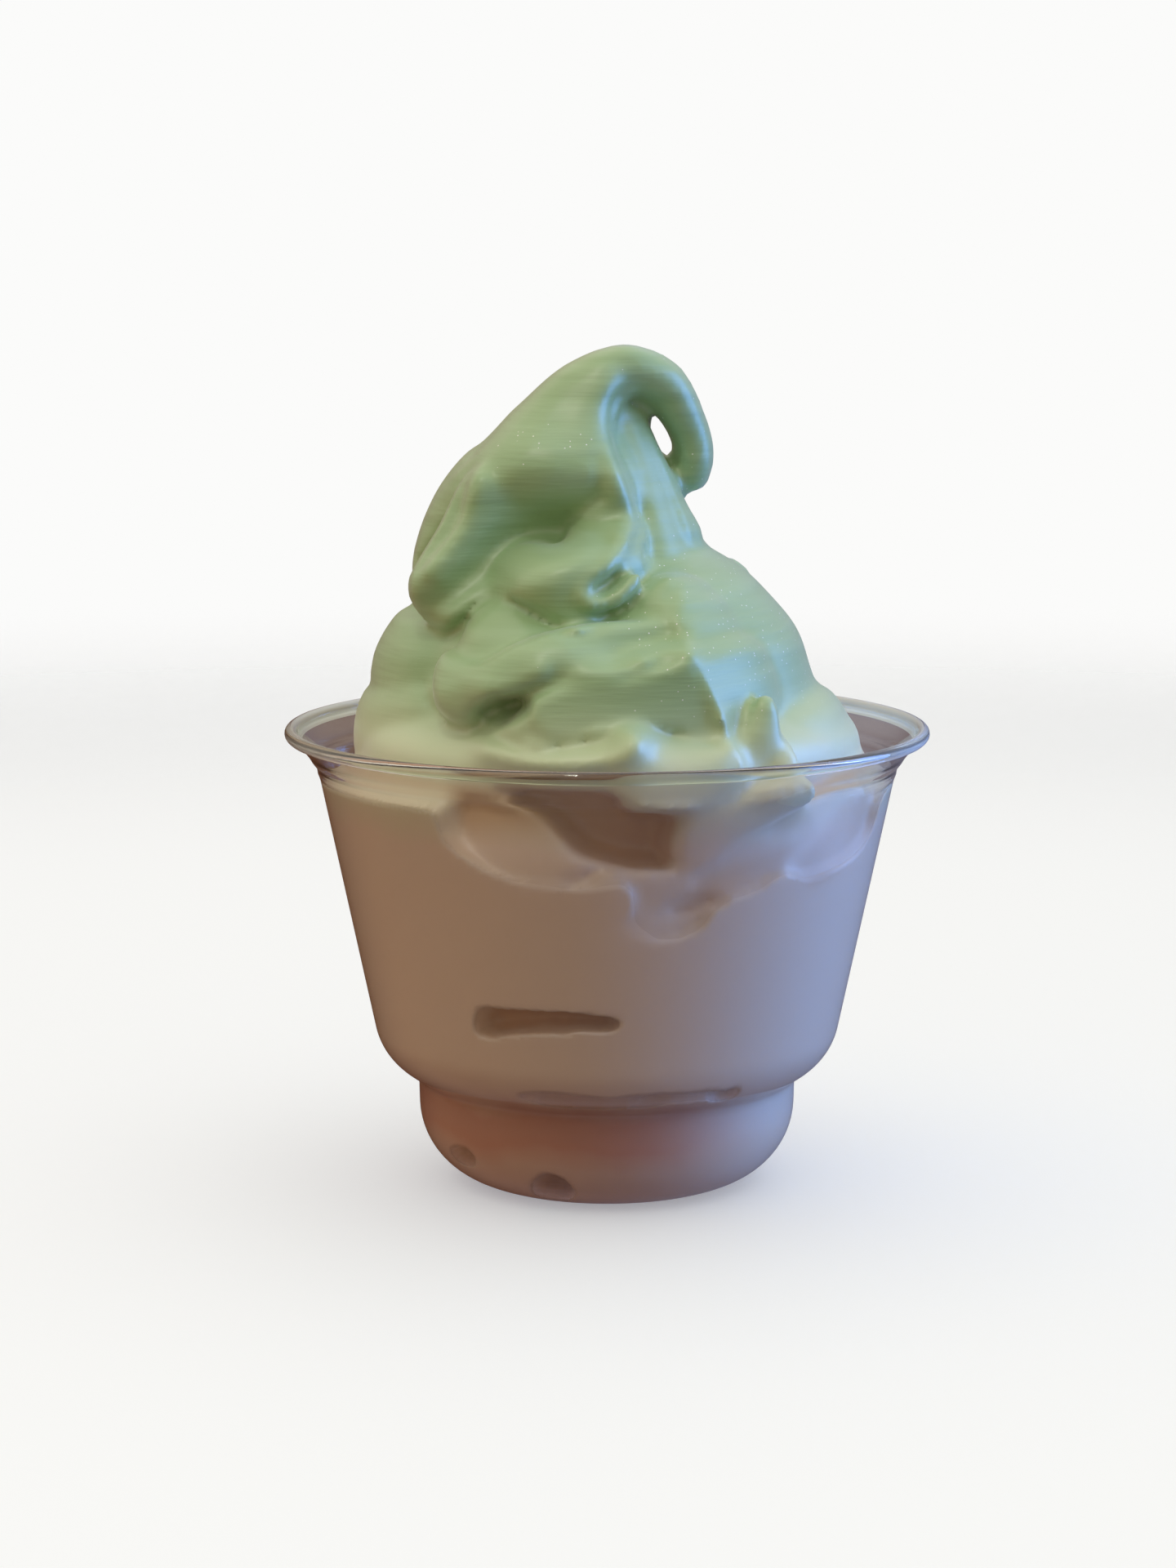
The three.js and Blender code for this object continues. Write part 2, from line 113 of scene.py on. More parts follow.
# whether points lie within a closed outline: odd count of edges crossed on the way right
def within(flat, outline):
    x, y = flat[:, :1], flat[:, 1:]
    ax, ay = outline[:-1].T
    bx, by = outline[1:].T
    crosses = (ay > y) != (by > y)
    place = ax + (bx - ax) * (y - ay) / np.where(by == ay, 1e-9, by - ay)
    return (crosses & (x < place)).sum(1) % 2 == 1


# angle in degrees brought into -180 to 180
def wrap(deg):
    return (deg + 180) % 360 - 180


# vectors divided by their lengths
def unit(v):
    return v / np.linalg.norm(v, axis=-1, keepdims=True)


# half profile: straight runs between corners (radius, height, round), each corner swapped for the arc
# of that radius that touches both runs
def roundedLine(corners, arcSteps):
    line = [corners[0][:2]]
    for before, corner, after in zip(corners[:-2], corners[1:-1], corners[2:]):
        tip = np.array(corner[:2])
        back = unit(np.array(before[:2]) - tip)
        ahead = unit(np.array(after[:2]) - tip)
        half = math.acos(back @ ahead) / 2
        centre = tip + unit(back + ahead) * corner[2] / math.sin(half)
        start, end = (tip + way * corner[2] / math.tan(half) - centre for way in (back, ahead))
        first = math.atan2(start[1], start[0])
        turn = math.radians(wrap(math.degrees(math.atan2(end[1], end[0]) - first)))
        angle = first + turn * np.linspace(0, 1, arcSteps + 1)
        line.extend(centre + corner[2] * np.stack([np.cos(angle), np.sin(angle)], 1))
    line.append(corners[-1][:2])
    return np.array(line, float)


# the same line moved square to itself, to the left of the way it runs
def insetLine(line, distance):
    along = unit(np.gradient(line, axis=0))
    return line + distance * np.stack([-along[:, 1], along[:, 0]], 1)


# even steps along a line, by its arc length
def evenLine(line, step):
    run = np.concatenate([[0], np.cumsum(np.linalg.norm(np.diff(line, axis=0), axis=1))])
    place = np.linspace(0, run[-1], int(run[-1] / step) + 1)
    return np.stack([np.interp(place, run, line[:, k]) for k in (0, 1)], 1)


# point(row, column) = (r sin a, -r cos a, z), a even round the axis from the front
def ringGrid(radius, height, around):
    angle = np.linspace(0, 2 * np.pi, around, endpoint=False)[None, :]
    radius = radius + 0 * angle
    return np.stack([radius * np.sin(angle), -radius * np.cos(angle), height + 0 * radius], -1)


# quads between neighbouring rings; the first and last ring are drawn to one point each
def closedGrid(rings):
    rows, columns = rings.shape[0] - 2, rings.shape[1]
    verts = np.vstack([rings[1:-1].reshape(-1, 3), rings[0].mean(0), rings[-1].mean(0)])
    index = np.arange(rows * columns).reshape(rows, columns)
    beside = np.roll(index, -1, 1)
    quads = np.stack([index[:-1], beside[:-1], beside[1:], index[1:]], -1).reshape(-1, 4)
    low = np.stack([np.full(columns, rows * columns), beside[0], index[0]], -1)
    high = np.stack([np.full(columns, rows * columns + 1), index[-1], beside[-1]], -1)
    return verts, quads.tolist() + low.tolist() + high.tolist()


# one mesh object in metres from closed grids in millimetres
def gridObject(name, grids):
    verts, faces, first = [], [], 0
    for rings in grids:
        points, polys = closedGrid(rings)
        verts.append(points)
        faces += [[first + i for i in poly] for poly in polys]
        first += len(points)
    mesh = bpy.data.meshes.new(name)
    mesh.from_pydata((np.vstack(verts) * mm).tolist(), [], faces)
    mesh.validate()
    mesh.shade_smooth()
    piece = bpy.data.objects.new(name, mesh)
    scene.collection.objects.link(piece)
    return piece


# clear cup: sizes on its outer face
cup = dict(
    rimRadius=48.0, height=69.0, wall=0.6, bead=0.95,
    flareRadius=43.2, flareHeight=63.2, flareRound=5.0,
    wallSlope=0.21, shoulderSlope=0.68, shoulderRound=9.8,
    neckRadius=28.4, neckHeight=15.8, neckRound=1.5,
    footRadius=28.0, footRound=12.0,
    ringHeights=(62.2, 64.0), ringDepth=0.16, ringWidth=0.55,   # fine formed rings under the lip
    around=208, step=0.45, arcSteps=16, beadSteps=18,
)


# outer half profile from the middle of the base up to the bead's centre; the shoulder's corner is where
# its slope meets the wall's slope
def cupProfile():
    slopes = cup["wallSlope"] * cup["shoulderSlope"]
    rise = cup["neckHeight"] - cup["shoulderSlope"] * cup["neckRadius"] - cup["flareHeight"]
    shoulderRadius = (cup["flareRadius"] + cup["wallSlope"] * rise) / (1 - slopes)
    shoulderHeight = cup["neckHeight"] + cup["shoulderSlope"] * (shoulderRadius - cup["neckRadius"])
    return roundedLine([
        (0.0, 0.0, 0.0),
        (cup["footRadius"], 0.0, cup["footRound"]),
        (cup["neckRadius"], cup["neckHeight"], cup["neckRound"]),
        (shoulderRadius, shoulderHeight, cup["shoulderRound"]),
        (cup["flareRadius"], cup["flareHeight"], cup["flareRound"]),
        (cup["rimRadius"] - cup["bead"], cup["height"] - cup["bead"], 0.0),
    ], cup["arcSteps"])


cupLine = cupProfile()


# closed section of the wall: outer line, the bead's arc over the lip, inner line back to the axis, with
# shallow rings pressed into both faces
def buildCup():
    outer = evenLine(cupLine, cup["step"])
    inner = insetLine(outer, cup["wall"])
    bead = outer[-1]
    along = unit(outer[-1] - outer[-2])
    inward = np.array([-along[1], along[0]])
    join = inward * cup["wall"] - along * math.sqrt(cup["bead"] ** 2 - cup["wall"] ** 2)
    first = math.atan2(-along[1], -along[0])
    turn = (math.atan2(join[1], join[0]) - first) % (2 * math.pi)
    angle = first + turn * np.linspace(0, 1, cup["beadSteps"] + 1)
    arc = bead + cup["bead"] * np.stack([np.cos(angle), np.sin(angle)], 1)
    away = np.linalg.norm(outer - bead, axis=1) > cup["bead"]
    section = np.vstack([outer[away], arc, inner[away][::-1]])
    for height in cup["ringHeights"]:
        section[:, 0] += cup["ringDepth"] * np.exp(-((section[:, 1] - height) / cup["ringWidth"]) ** 2)
    section[[0, -1], 0] = 0
    return gridObject("clear_cup", [ringGrid(section[:, :1], section[:, 1:], cup["around"])])


cupPiece = buildCup()
print("cup:", len(cupPiece.data.polygons), "faces")

# soft serve: one body of ice cream, sizes in millimetres, angles in degrees from the front
softServe = dict(
    sink=0.28,      # depth of its skin in the wall, from the outer face, so no air gap shows
    fillTop=66.5, layerRadius=36.8, layerWave=0.7, layerWaves=5, layerPhase=0.6, layerBlend=6.0,
    frontBulge=4.2, frontBulgeSpan=48.0,
    layerCrest=76.0, layerFullness=0.66, layerLift=0.85,
    slopeDepth=3.0, hollowDepth=5.0, hollowEdge=2.0, frontHollow=4.5, frontHollowSpan=16.0, sheetFade=1.6,
    domeRadius=32.4, domeBase=70.0, domeRise=29.0, domeDrop=8.0, domeShift=-0.8,
    bandDepth=0.008, bandTurns=15.0, bandPhase=1.0,
    ringPower=2.4, endTaper=0.62, endTuck=3.2,
    fluteDepth=0.16, fluteWidth=3.4, fluteMix=(0.6, 1.0, 1.45), fluteDrift=2.5, seed=7,
    voxel=0.68, relax=3, relaxAgain=1, relaxShare=0.5,
    wallStep=0.5, foldSteps=30, waveSteps=9, lineSteps=5, outlineSteps=4,
)

# where the filling leaves the wall: degrees, height of the last contact, height where its slope ends
contactLine = np.array([
    (-174, 53, 60), (-150, 58, 64), (-122, 54, 61), (-95, 60, 64), (-62, 61.5, 65), (-37, 61.5, 65),
    (-30, 57, 62), (-22, 54, 59), (-13, 51, 55.5), (1, 50, 52), (7, 46, 49), (15, 44.5, 50), (31, 47, 57),
    (50, 47.2, 62), (62, 51, 63), (76, 60, 65), (110, 61, 65), (140, 55, 61), (160, 59, 64),
])

# bands that lie nearer to the wall than the hollow behind: degrees and height of both ends, half width,
# soft edge, fade at the ends, share of the gap they close
wallBands = [
    (15, 57.5, 42, 65.5, 2.6, 2.0, 0.12, 0.72),
    (12, 48.5, 62, 58.5, 1.8, 2.2, 0.15, 0.45),
    (46, 52.0, 66, 60.0, 1.6, 2.0, 0.2, 0.5),
]

# air pockets at the wall: degrees, height, half span in degrees, half height, depth
airPockets = [
    (6, 19.4, 31, 1.0, 2.6), (-55, 28, 5, 0.8, 1.0), (47, 32.4, 3, 1.0, 1.0), (34, 19.8, 2, 1.2, 1.2),
]

# their ragged edge: sway of the middle, taper to the right and ripple in shares of the half height, turns in
# radians per half span, powers that square off the ends and the long sides, and how steep the edge is
pocketEdge = dict(sway=0.2, swayTurn=5, taper=0.22, ripple=0.12, rippleTurn=9, endPower=6, sidePower=4,
                  steep=2.5)

# folds along a path: x, y, z, half depth along the side axis, half width across it
pathFolds = dict(
    arch=dict(side=(0, 1, 0), power=2.5, rows=[
        (-13.8, 1, 80, 12, 15.2), (-14, 1, 89, 11, 15.4), (-12.4, -0.2, 97, 10.5, 14.6),
        (-8.9, -3.2, 105, 12.3, 12), (-6.2, -3.6, 112, 10.4, 8.6), (-2.8, -4, 118.1, 7, 5.6),
        (2.5, -4, 121.8, 4.8, 3.6), (7, -3, 120.6, 4, 2.9)]),
    hook=dict(side=(0, 1, 0), power=2.0, rows=[
        (-1, -4, 120.4, 5, 4.4), (2.8, -4, 121.6, 4.8, 3.8), (7.9, -2.2, 119.3, 4.6, 3.8),
        (11.5, 0.8, 113.8, 4.4, 3.1), (12.8, 2.4, 108.6, 4.6, 3), (11.4, 2.8, 103.4, 3.6, 2.8)]),
    web=dict(side=(0, 1, 0), power=2.0, rows=[
        (0.5, 2.5, 119, 3, 5), (1.4, 2.4, 114.5, 3.6, 5), (1.6, 2.4, 109.5, 4.5, 5.4), (4, 2.4, 104, 6, 6.4),
        (6, 1, 98, 9, 6.4), (8, 0, 91, 13, 9), (10, 0, 84, 16, 12)]),
    webFront=dict(side=(0.7, -0.7, 0), power=2.2, rows=[
        (2, -3, 117.5, 2.2, 3.2), (2.8, -3.5, 111.5, 3.2, 4.8), (4, -5, 105, 4.2, 7.6), (5.2, -7, 99, 5, 10),
        (6.5, -8, 92, 6, 12)]),
    drape=dict(side=(0, 1, 0), power=2.6, rows=[
        (-9.5, -9.5, 108, 3, 6), (-13, -11, 102, 4, 9), (-17.6, -13.2, 95.5, 5, 8.2),
        (-23.4, -16, 89.6, 5, 6.2), (-26, -17, 86, 4, 4.2)]),
    collar=dict(side=(0, 1, 0), power=2.2, rows=[
        (-17, -12, 91.5, 4.5, 4), (-11.5, -16.5, 92, 5.5, 5.6), (-5.6, -20.6, 91.5, 6.5, 6.2),
        (-0.8, -17, 94.5, 6, 6.4), (0.2, -10, 102, 5, 5)]),
    lip=dict(side=(0, 1, 0), power=2.0, rows=[
        (6, -6, 120.6, 1.6, 1.5), (1.4, -7, 118.4, 1.9, 1.7), (-0.9, -8.5, 114, 2.4, 1.9),
        (-0.8, -9.5, 110, 2.7, 2.1), (1, -11.5, 105, 2.8, 2.2), (2, -15.5, 100.5, 2.6, 2.1),
        (1.2, -20.5, 97, 2.2, 1.9), (-0.5, -23.8, 94.6, 2, 1.5), (-2.6, -25.4, 92.9, 2, 1.3),
        (-3.4, -26.2, 91.4, 2, 1.2), (-2.1, -26.7, 90.1, 2, 1.2), (0.4, -26.5, 90.3, 2, 1.2),
        (2.9, -25.2, 92, 2, 1.2), (4.1, -23.5, 93.6, 1.8, 1.1)]),
    nape=dict(side=(0, 0, 1), power=2.0, rows=[
        (11, 4, 92, 4, 3.5), (5, 11, 94, 5.5, 5), (-6, 14.5, 96.5, 6.5, 5.5), (-17, 11, 97.5, 6, 5),
        (-22.5, 3, 95, 4, 4)]),
    crest=dict(side=(0, 0, 1), power=2.0, rows=[
        (6, 4.5, 103, 4, 3), (-1, 8.5, 106.5, 5, 4), (-9, 8.6, 109, 5.5, 4), (-15, 4, 106, 4.5, 3.5)]),
    spike=dict(side=(0.6, 0.8, 0), power=2.0, rows=[
        (19.6, -27, 65, 4.5, 5), (20.8, -29.4, 70.5, 3.3, 4.2), (21.9, -30.2, 75, 2, 2.4),
        (22.2, -30.6, 77.6, 1.1, 0.9)]),
    frontLump=dict(side=(0, 1, 0), power=2.0, rows=[
        (3.4, -31.5, 64, 6, 9), (4, -35.2, 70, 4.4, 6.8), (4.8, -36.4, 74.6, 2, 2.4)]),
)

# folds round the axis: degrees, radius, height, half height, half thickness, lean to the axis in degrees
ringFolds = dict(
    upperFold=[
        (-47, 27, 82, 4.5, 3, 35), (-38, 28, 84, 6.5, 4, 36), (-26, 27.6, 83.5, 6.8, 4, 38),
        (-10, 28, 80, 6, 4, 32), (0, 27.2, 81, 6.5, 4, 34), (10, 26, 84, 8, 4, 42),
        (19, 25.2, 85.8, 9, 4.2, 44), (25, 24.8, 86.6, 8.5, 4, 44), (40, 23, 86.4, 8, 3.4, 44),
        (58, 20.5, 86, 6, 2.4, 44)],
    hemLeft=[
        (-48, 31, 79.5, 4, 3, 15), (-40, 33.2, 77.6, 5, 4.2, 6), (-31, 33.6, 78, 4.4, 4.2, 8),
        (-23, 33, 80.8, 4, 3.8, 14), (-14, 32, 82.8, 3.9, 3.4, 20), (-3, 30.6, 84, 3.8, 3, 28),
        (9, 29, 84.6, 3.4, 2.6, 32), (20, 27.6, 85.6, 3, 2.4, 36)],
    hemRight=[
        (-31, 32, 71.6, 1.4, 2.2, 5), (-24, 33, 72, 2.2, 3, 5), (-17, 33.6, 74, 4, 3.8, 8),
        (-8, 33.6, 76.4, 6.2, 4.4, 12), (0, 33.4, 76.8, 6.4, 4.4, 12), (8, 32.4, 79.2, 5.4, 3.8, 18),
        (18, 31.8, 78.6, 6.8, 4, 18), (25, 31.4, 77.4, 7.6, 4.4, 16), (40, 29.6, 78, 7.4, 3.6, 18),
        (58, 27, 78, 6, 2.4, 20)],
    hemMiddle=[
        (-21, 31, 77.5, 2.6, 3, 12), (-13, 32, 79.4, 4, 3.8, 14), (-3, 31.4, 81, 4, 3.6, 20),
        (9, 29.8, 82, 4, 3, 25)],
)

# folds that wave as they go round: first and last angle, radius and its swell, height and its sway, waves,
# half height, half thickness, lean
waveFolds = dict(
    rimRight=(43, 118, 32.6, 0.8, 68.2, -0.6, 0.9, 6.4, 4.5, 28),
    rimLeft=(-112, -45, 32.6, -0.7, 70.6, 1.2, 1.1, 6.3, 4.5, 10),
    sideLeft=(-118, -50, 29.8, -0.6, 80.0, 0.8, 0.8, 7.0, 4.2, 22),
    rimBack=(116, 230, 33.0, -0.9, 70.2, 0.9, 2.2, 6.0, 4.4, 10),
    backLower=(105, 245, 31.7, -1.0, 78.2, 1.8, 3.3, 6.2, 3.9, 17),
    backUpper=(112, 262, 25.2, -0.7, 88.0, 1.2, 2.3, 6.4, 4.0, 43),
)

# how the drawn shapes below go on: the share of a step's line over which its ends fade, the y of the normal
# where the front sets in and over how much, how far below fillTop they set in and over how much, and the
# farthest that a face moves the surface
drawing = dict(endFade=0.12, facingFrom=0.1, facingSoft=0.5, lipMargin=2.0, lipSoft=3.0, faceReach=9.0)

# drawn on the sight plane, in its millimetres. steps: the surface left of the line stands out by raised
# over its rounded edge and fades over spread, right of it the surface sinks
drawnSteps = dict(
    sheetLeft=dict(raised=1.6, edge=1.6, spread=7.0, sunk=1.6, sunkSpread=2.0, line=[
        (-15.9, 48.8), (-17.9, 45.7), (-18.8, 42.4), (-19.5, 39.5), (-21.2, 36.8), (-23.7, 33.7),
        (-26.1, 30.7)]),
    sheetBottom=dict(raised=2.2, edge=1.6, spread=9.0, sunk=1.2, sunkSpread=2.0, line=[
        (-22.6, 20.5), (-20.0, 23.4), (-17.3, 26.0), (-14.9, 27.6), (-12.2, 27.8), (-9.5, 26.7),
        (-6.7, 25.1), (-3.9, 23.5), (-1.7, 22.8), (1.0, 23.7), (3.7, 25.0)]),
    lipEdge=dict(raised=1.5, edge=2.4, spread=8.0, sunk=1.0, sunkSpread=3.0, line=[
        (5.4, 33.7), (6.8, 36.1), (7.7, 39.0), (7.4, 42.4), (6.3, 46.1), (4.5, 49.8), (3.3, 53.0),
        (3.3, 56.1), (4.5, 58.5), (6.7, 60.2)]),
    tierTop=dict(raised=1.5, edge=2.0, spread=6.0, sunk=0.5, sunkSpread=2.0, line=[
        (14.1, 31.0), (12.9, 32.4), (10.7, 31.8), (8.5, 29.9), (6.6, 27.8)]),
    hemBottom=dict(raised=1.2, edge=1.1, spread=8.0, sunk=0.9, sunkSpread=1.6, line=[
        (-24.5, 16.8), (-23.7, 13.4), (-21.6, 10.2), (-18.8, 8.7), (-15.9, 8.7), (-13.2, 7.7),
        (-10.4, 6.3), (-7.7, 5.4), (-4.3, 6.0), (-0.6, 6.7), (2.4, 7.9), (4.9, 9.5)]),
    tierBottom=dict(raised=1.5, edge=1.6, spread=7.0, sunk=0.8, sunkSpread=2.0, line=[
        (9.3, 9.8), (12.9, 8.4), (16.8, 7.2), (21.0, 6.6)]),
)

# ridges and creases: rise at the line, falling off as a bell of that width, or as a sharp crest with power 1;
# right is the width on the right of the line's way
drawnRidges = dict(
    tierRight=dict(rise=3.5, width=3.0, right=5.0, power=1.0, line=[
        (21.2, 6.6), (20.5, 8.5), (19.3, 11.2), (18.0, 14.1), (16.8, 16.8), (15.2, 19.5)]),
    tierShoulder=dict(rise=1.6, width=4.0, power=1.0, line=[
        (13.8, 22.0), (13.4, 25.0), (13.8, 28.3), (14.4, 31.2)]),
    sheetSwell=dict(rise=3.2, width=6.0, line=[
        (-15.1, 46.6), (-9.8, 47.6), (-3.7, 47.8), (2.4, 46.8)]),
    sheetCrease=dict(rise=-3.2, width=3.2, line=[
        (-23.4, 25.4), (-19.5, 28.3), (-14.6, 32.4), (-9.8, 36.1), (-6.3, 37.6), (-2.4, 38.0),
        (1.5, 38.4), (5.1, 39.8)]),
    collarSwell=dict(rise=2.2, width=3.6, line=[
        (-9.8, 31.1), (-3.7, 32.3), (2.4, 34.1)]),
    lobeBand=dict(rise=0.5, width=1.5, line=[
        (-24.4, 23.8), (-20.7, 25.6), (-16.5, 28.3)]),
    scrollEye=dict(rise=-2.5, width=0.8, line=[
        (2.0, 29.1), (4.5, 31.3)]),
    hookHollow=dict(rise=-1.5, width=2.5, line=[
        (7.6, 57.3), (9.8, 56.1)]),
    hemRidge=dict(rise=1.4, width=2.6, line=[
        (-16.5, 14.9), (-12.2, 16.8), (-7.3, 18.0), (-2.4, 18.0), (2.4, 17.7), (7.3, 18.0)]),
    tierCrease=dict(rise=-1.0, width=1.6, line=[
        (3.9, 19.1), (8.5, 20.7), (13.4, 22.4)]),
    tierCrest=dict(rise=0.8, width=1.5, line=[
        (8.5, 18.8), (12.2, 20.0), (14.9, 20.5)]),
    hemPocket=dict(rise=-3.6, width=1.3, line=[
        (-15.4, 10.5), (-13.2, 12.0), (-10.0, 12.1)]),
    hemCurl=dict(rise=1.0, width=1.3, line=[
        (-14.6, 8.5), (-11.7, 8.8), (-9.0, 10.0), (-7.8, 11.8), (-9.1, 13.4), (-12.2, 13.7)]),
    underHem=dict(rise=3.2, width=2.6, line=[
        (-14.6, 5.9), (-9.8, 4.6), (-3.7, 3.9), (2.4, 4.6), (6.7, 6.3)]),
    lumpSwell=dict(rise=1.6, width=3.5, line=[
        (6.1, 7.9), (7.3, 5.5)]),
    peakFill=dict(rise=1.5, width=4.0, line=[
        (-15.9, 20.7), (-9.8, 20.7), (-3.7, 20.5)]),
    hemFront=dict(rise=2.0, width=2.2, line=[
        (-14.4, 13.8), (-12.0, 14.4), (-9.5, 15.1), (-7.3, 16.1)]),
    hemFill=dict(rise=1.5, width=4.2, line=[
        (-6.3, 10.5), (-1.8, 11.2), (3.0, 12.0)]),
)

# faces: within the outline the surface eases, over soft, onto a curved sheet through the given depths y
drawnFaces = dict(
    tierFace=dict(soft=1.4, outline=[
        (-7.9, 7.3), (-9.1, 10.7), (-8.3, 13.7), (-2.4, 15.4), (4.9, 16.3), (12.2, 18.8), (15.2, 19.5),
        (16.8, 16.8), (18.0, 14.1), (19.3, 11.2), (20.7, 7.6), (17.1, 6.7), (12.2, 7.4), (7.3, 8.5),
        (2.4, 7.8), (-2.4, 6.3)], depths=[
        (-7.3, 13.7, -38.2), (-6.7, 7.7, -39.6), (-1.2, 11.0, -39.2), (3.7, 15.6, -38.6), (3.7, 8.8, -39),
        (9.8, 16.8, -37.6), (9.8, 9.3, -37.8), (14.6, 18.5, -37), (17.3, 14.0, -36.2), (20.1, 7.9, -35)]),
    webFace=dict(soft=1.2, outline=[
        (4.6, 55.5), (4.3, 52.7), (6.8, 46.6), (8.5, 40.5), (8.8, 37.2), (7.8, 33.7), (11.6, 32.9),
        (15.6, 33.7), (14.6, 38.8), (13.0, 43.7), (11.1, 48.5), (9.4, 53.2), (7.6, 56.1)], depths=[
        (5.5, 53.7, -6), (7.1, 48.8, -8.6), (8.8, 42.7, -11), (9.4, 36.6, -13.5), (9.1, 33.7, -15),
        (8.5, 54.9, -3), (10.4, 48.8, -4), (12.8, 43.9, -5), (14.4, 39.0, -6.5), (15.6, 34.8, -8.5)]),
)

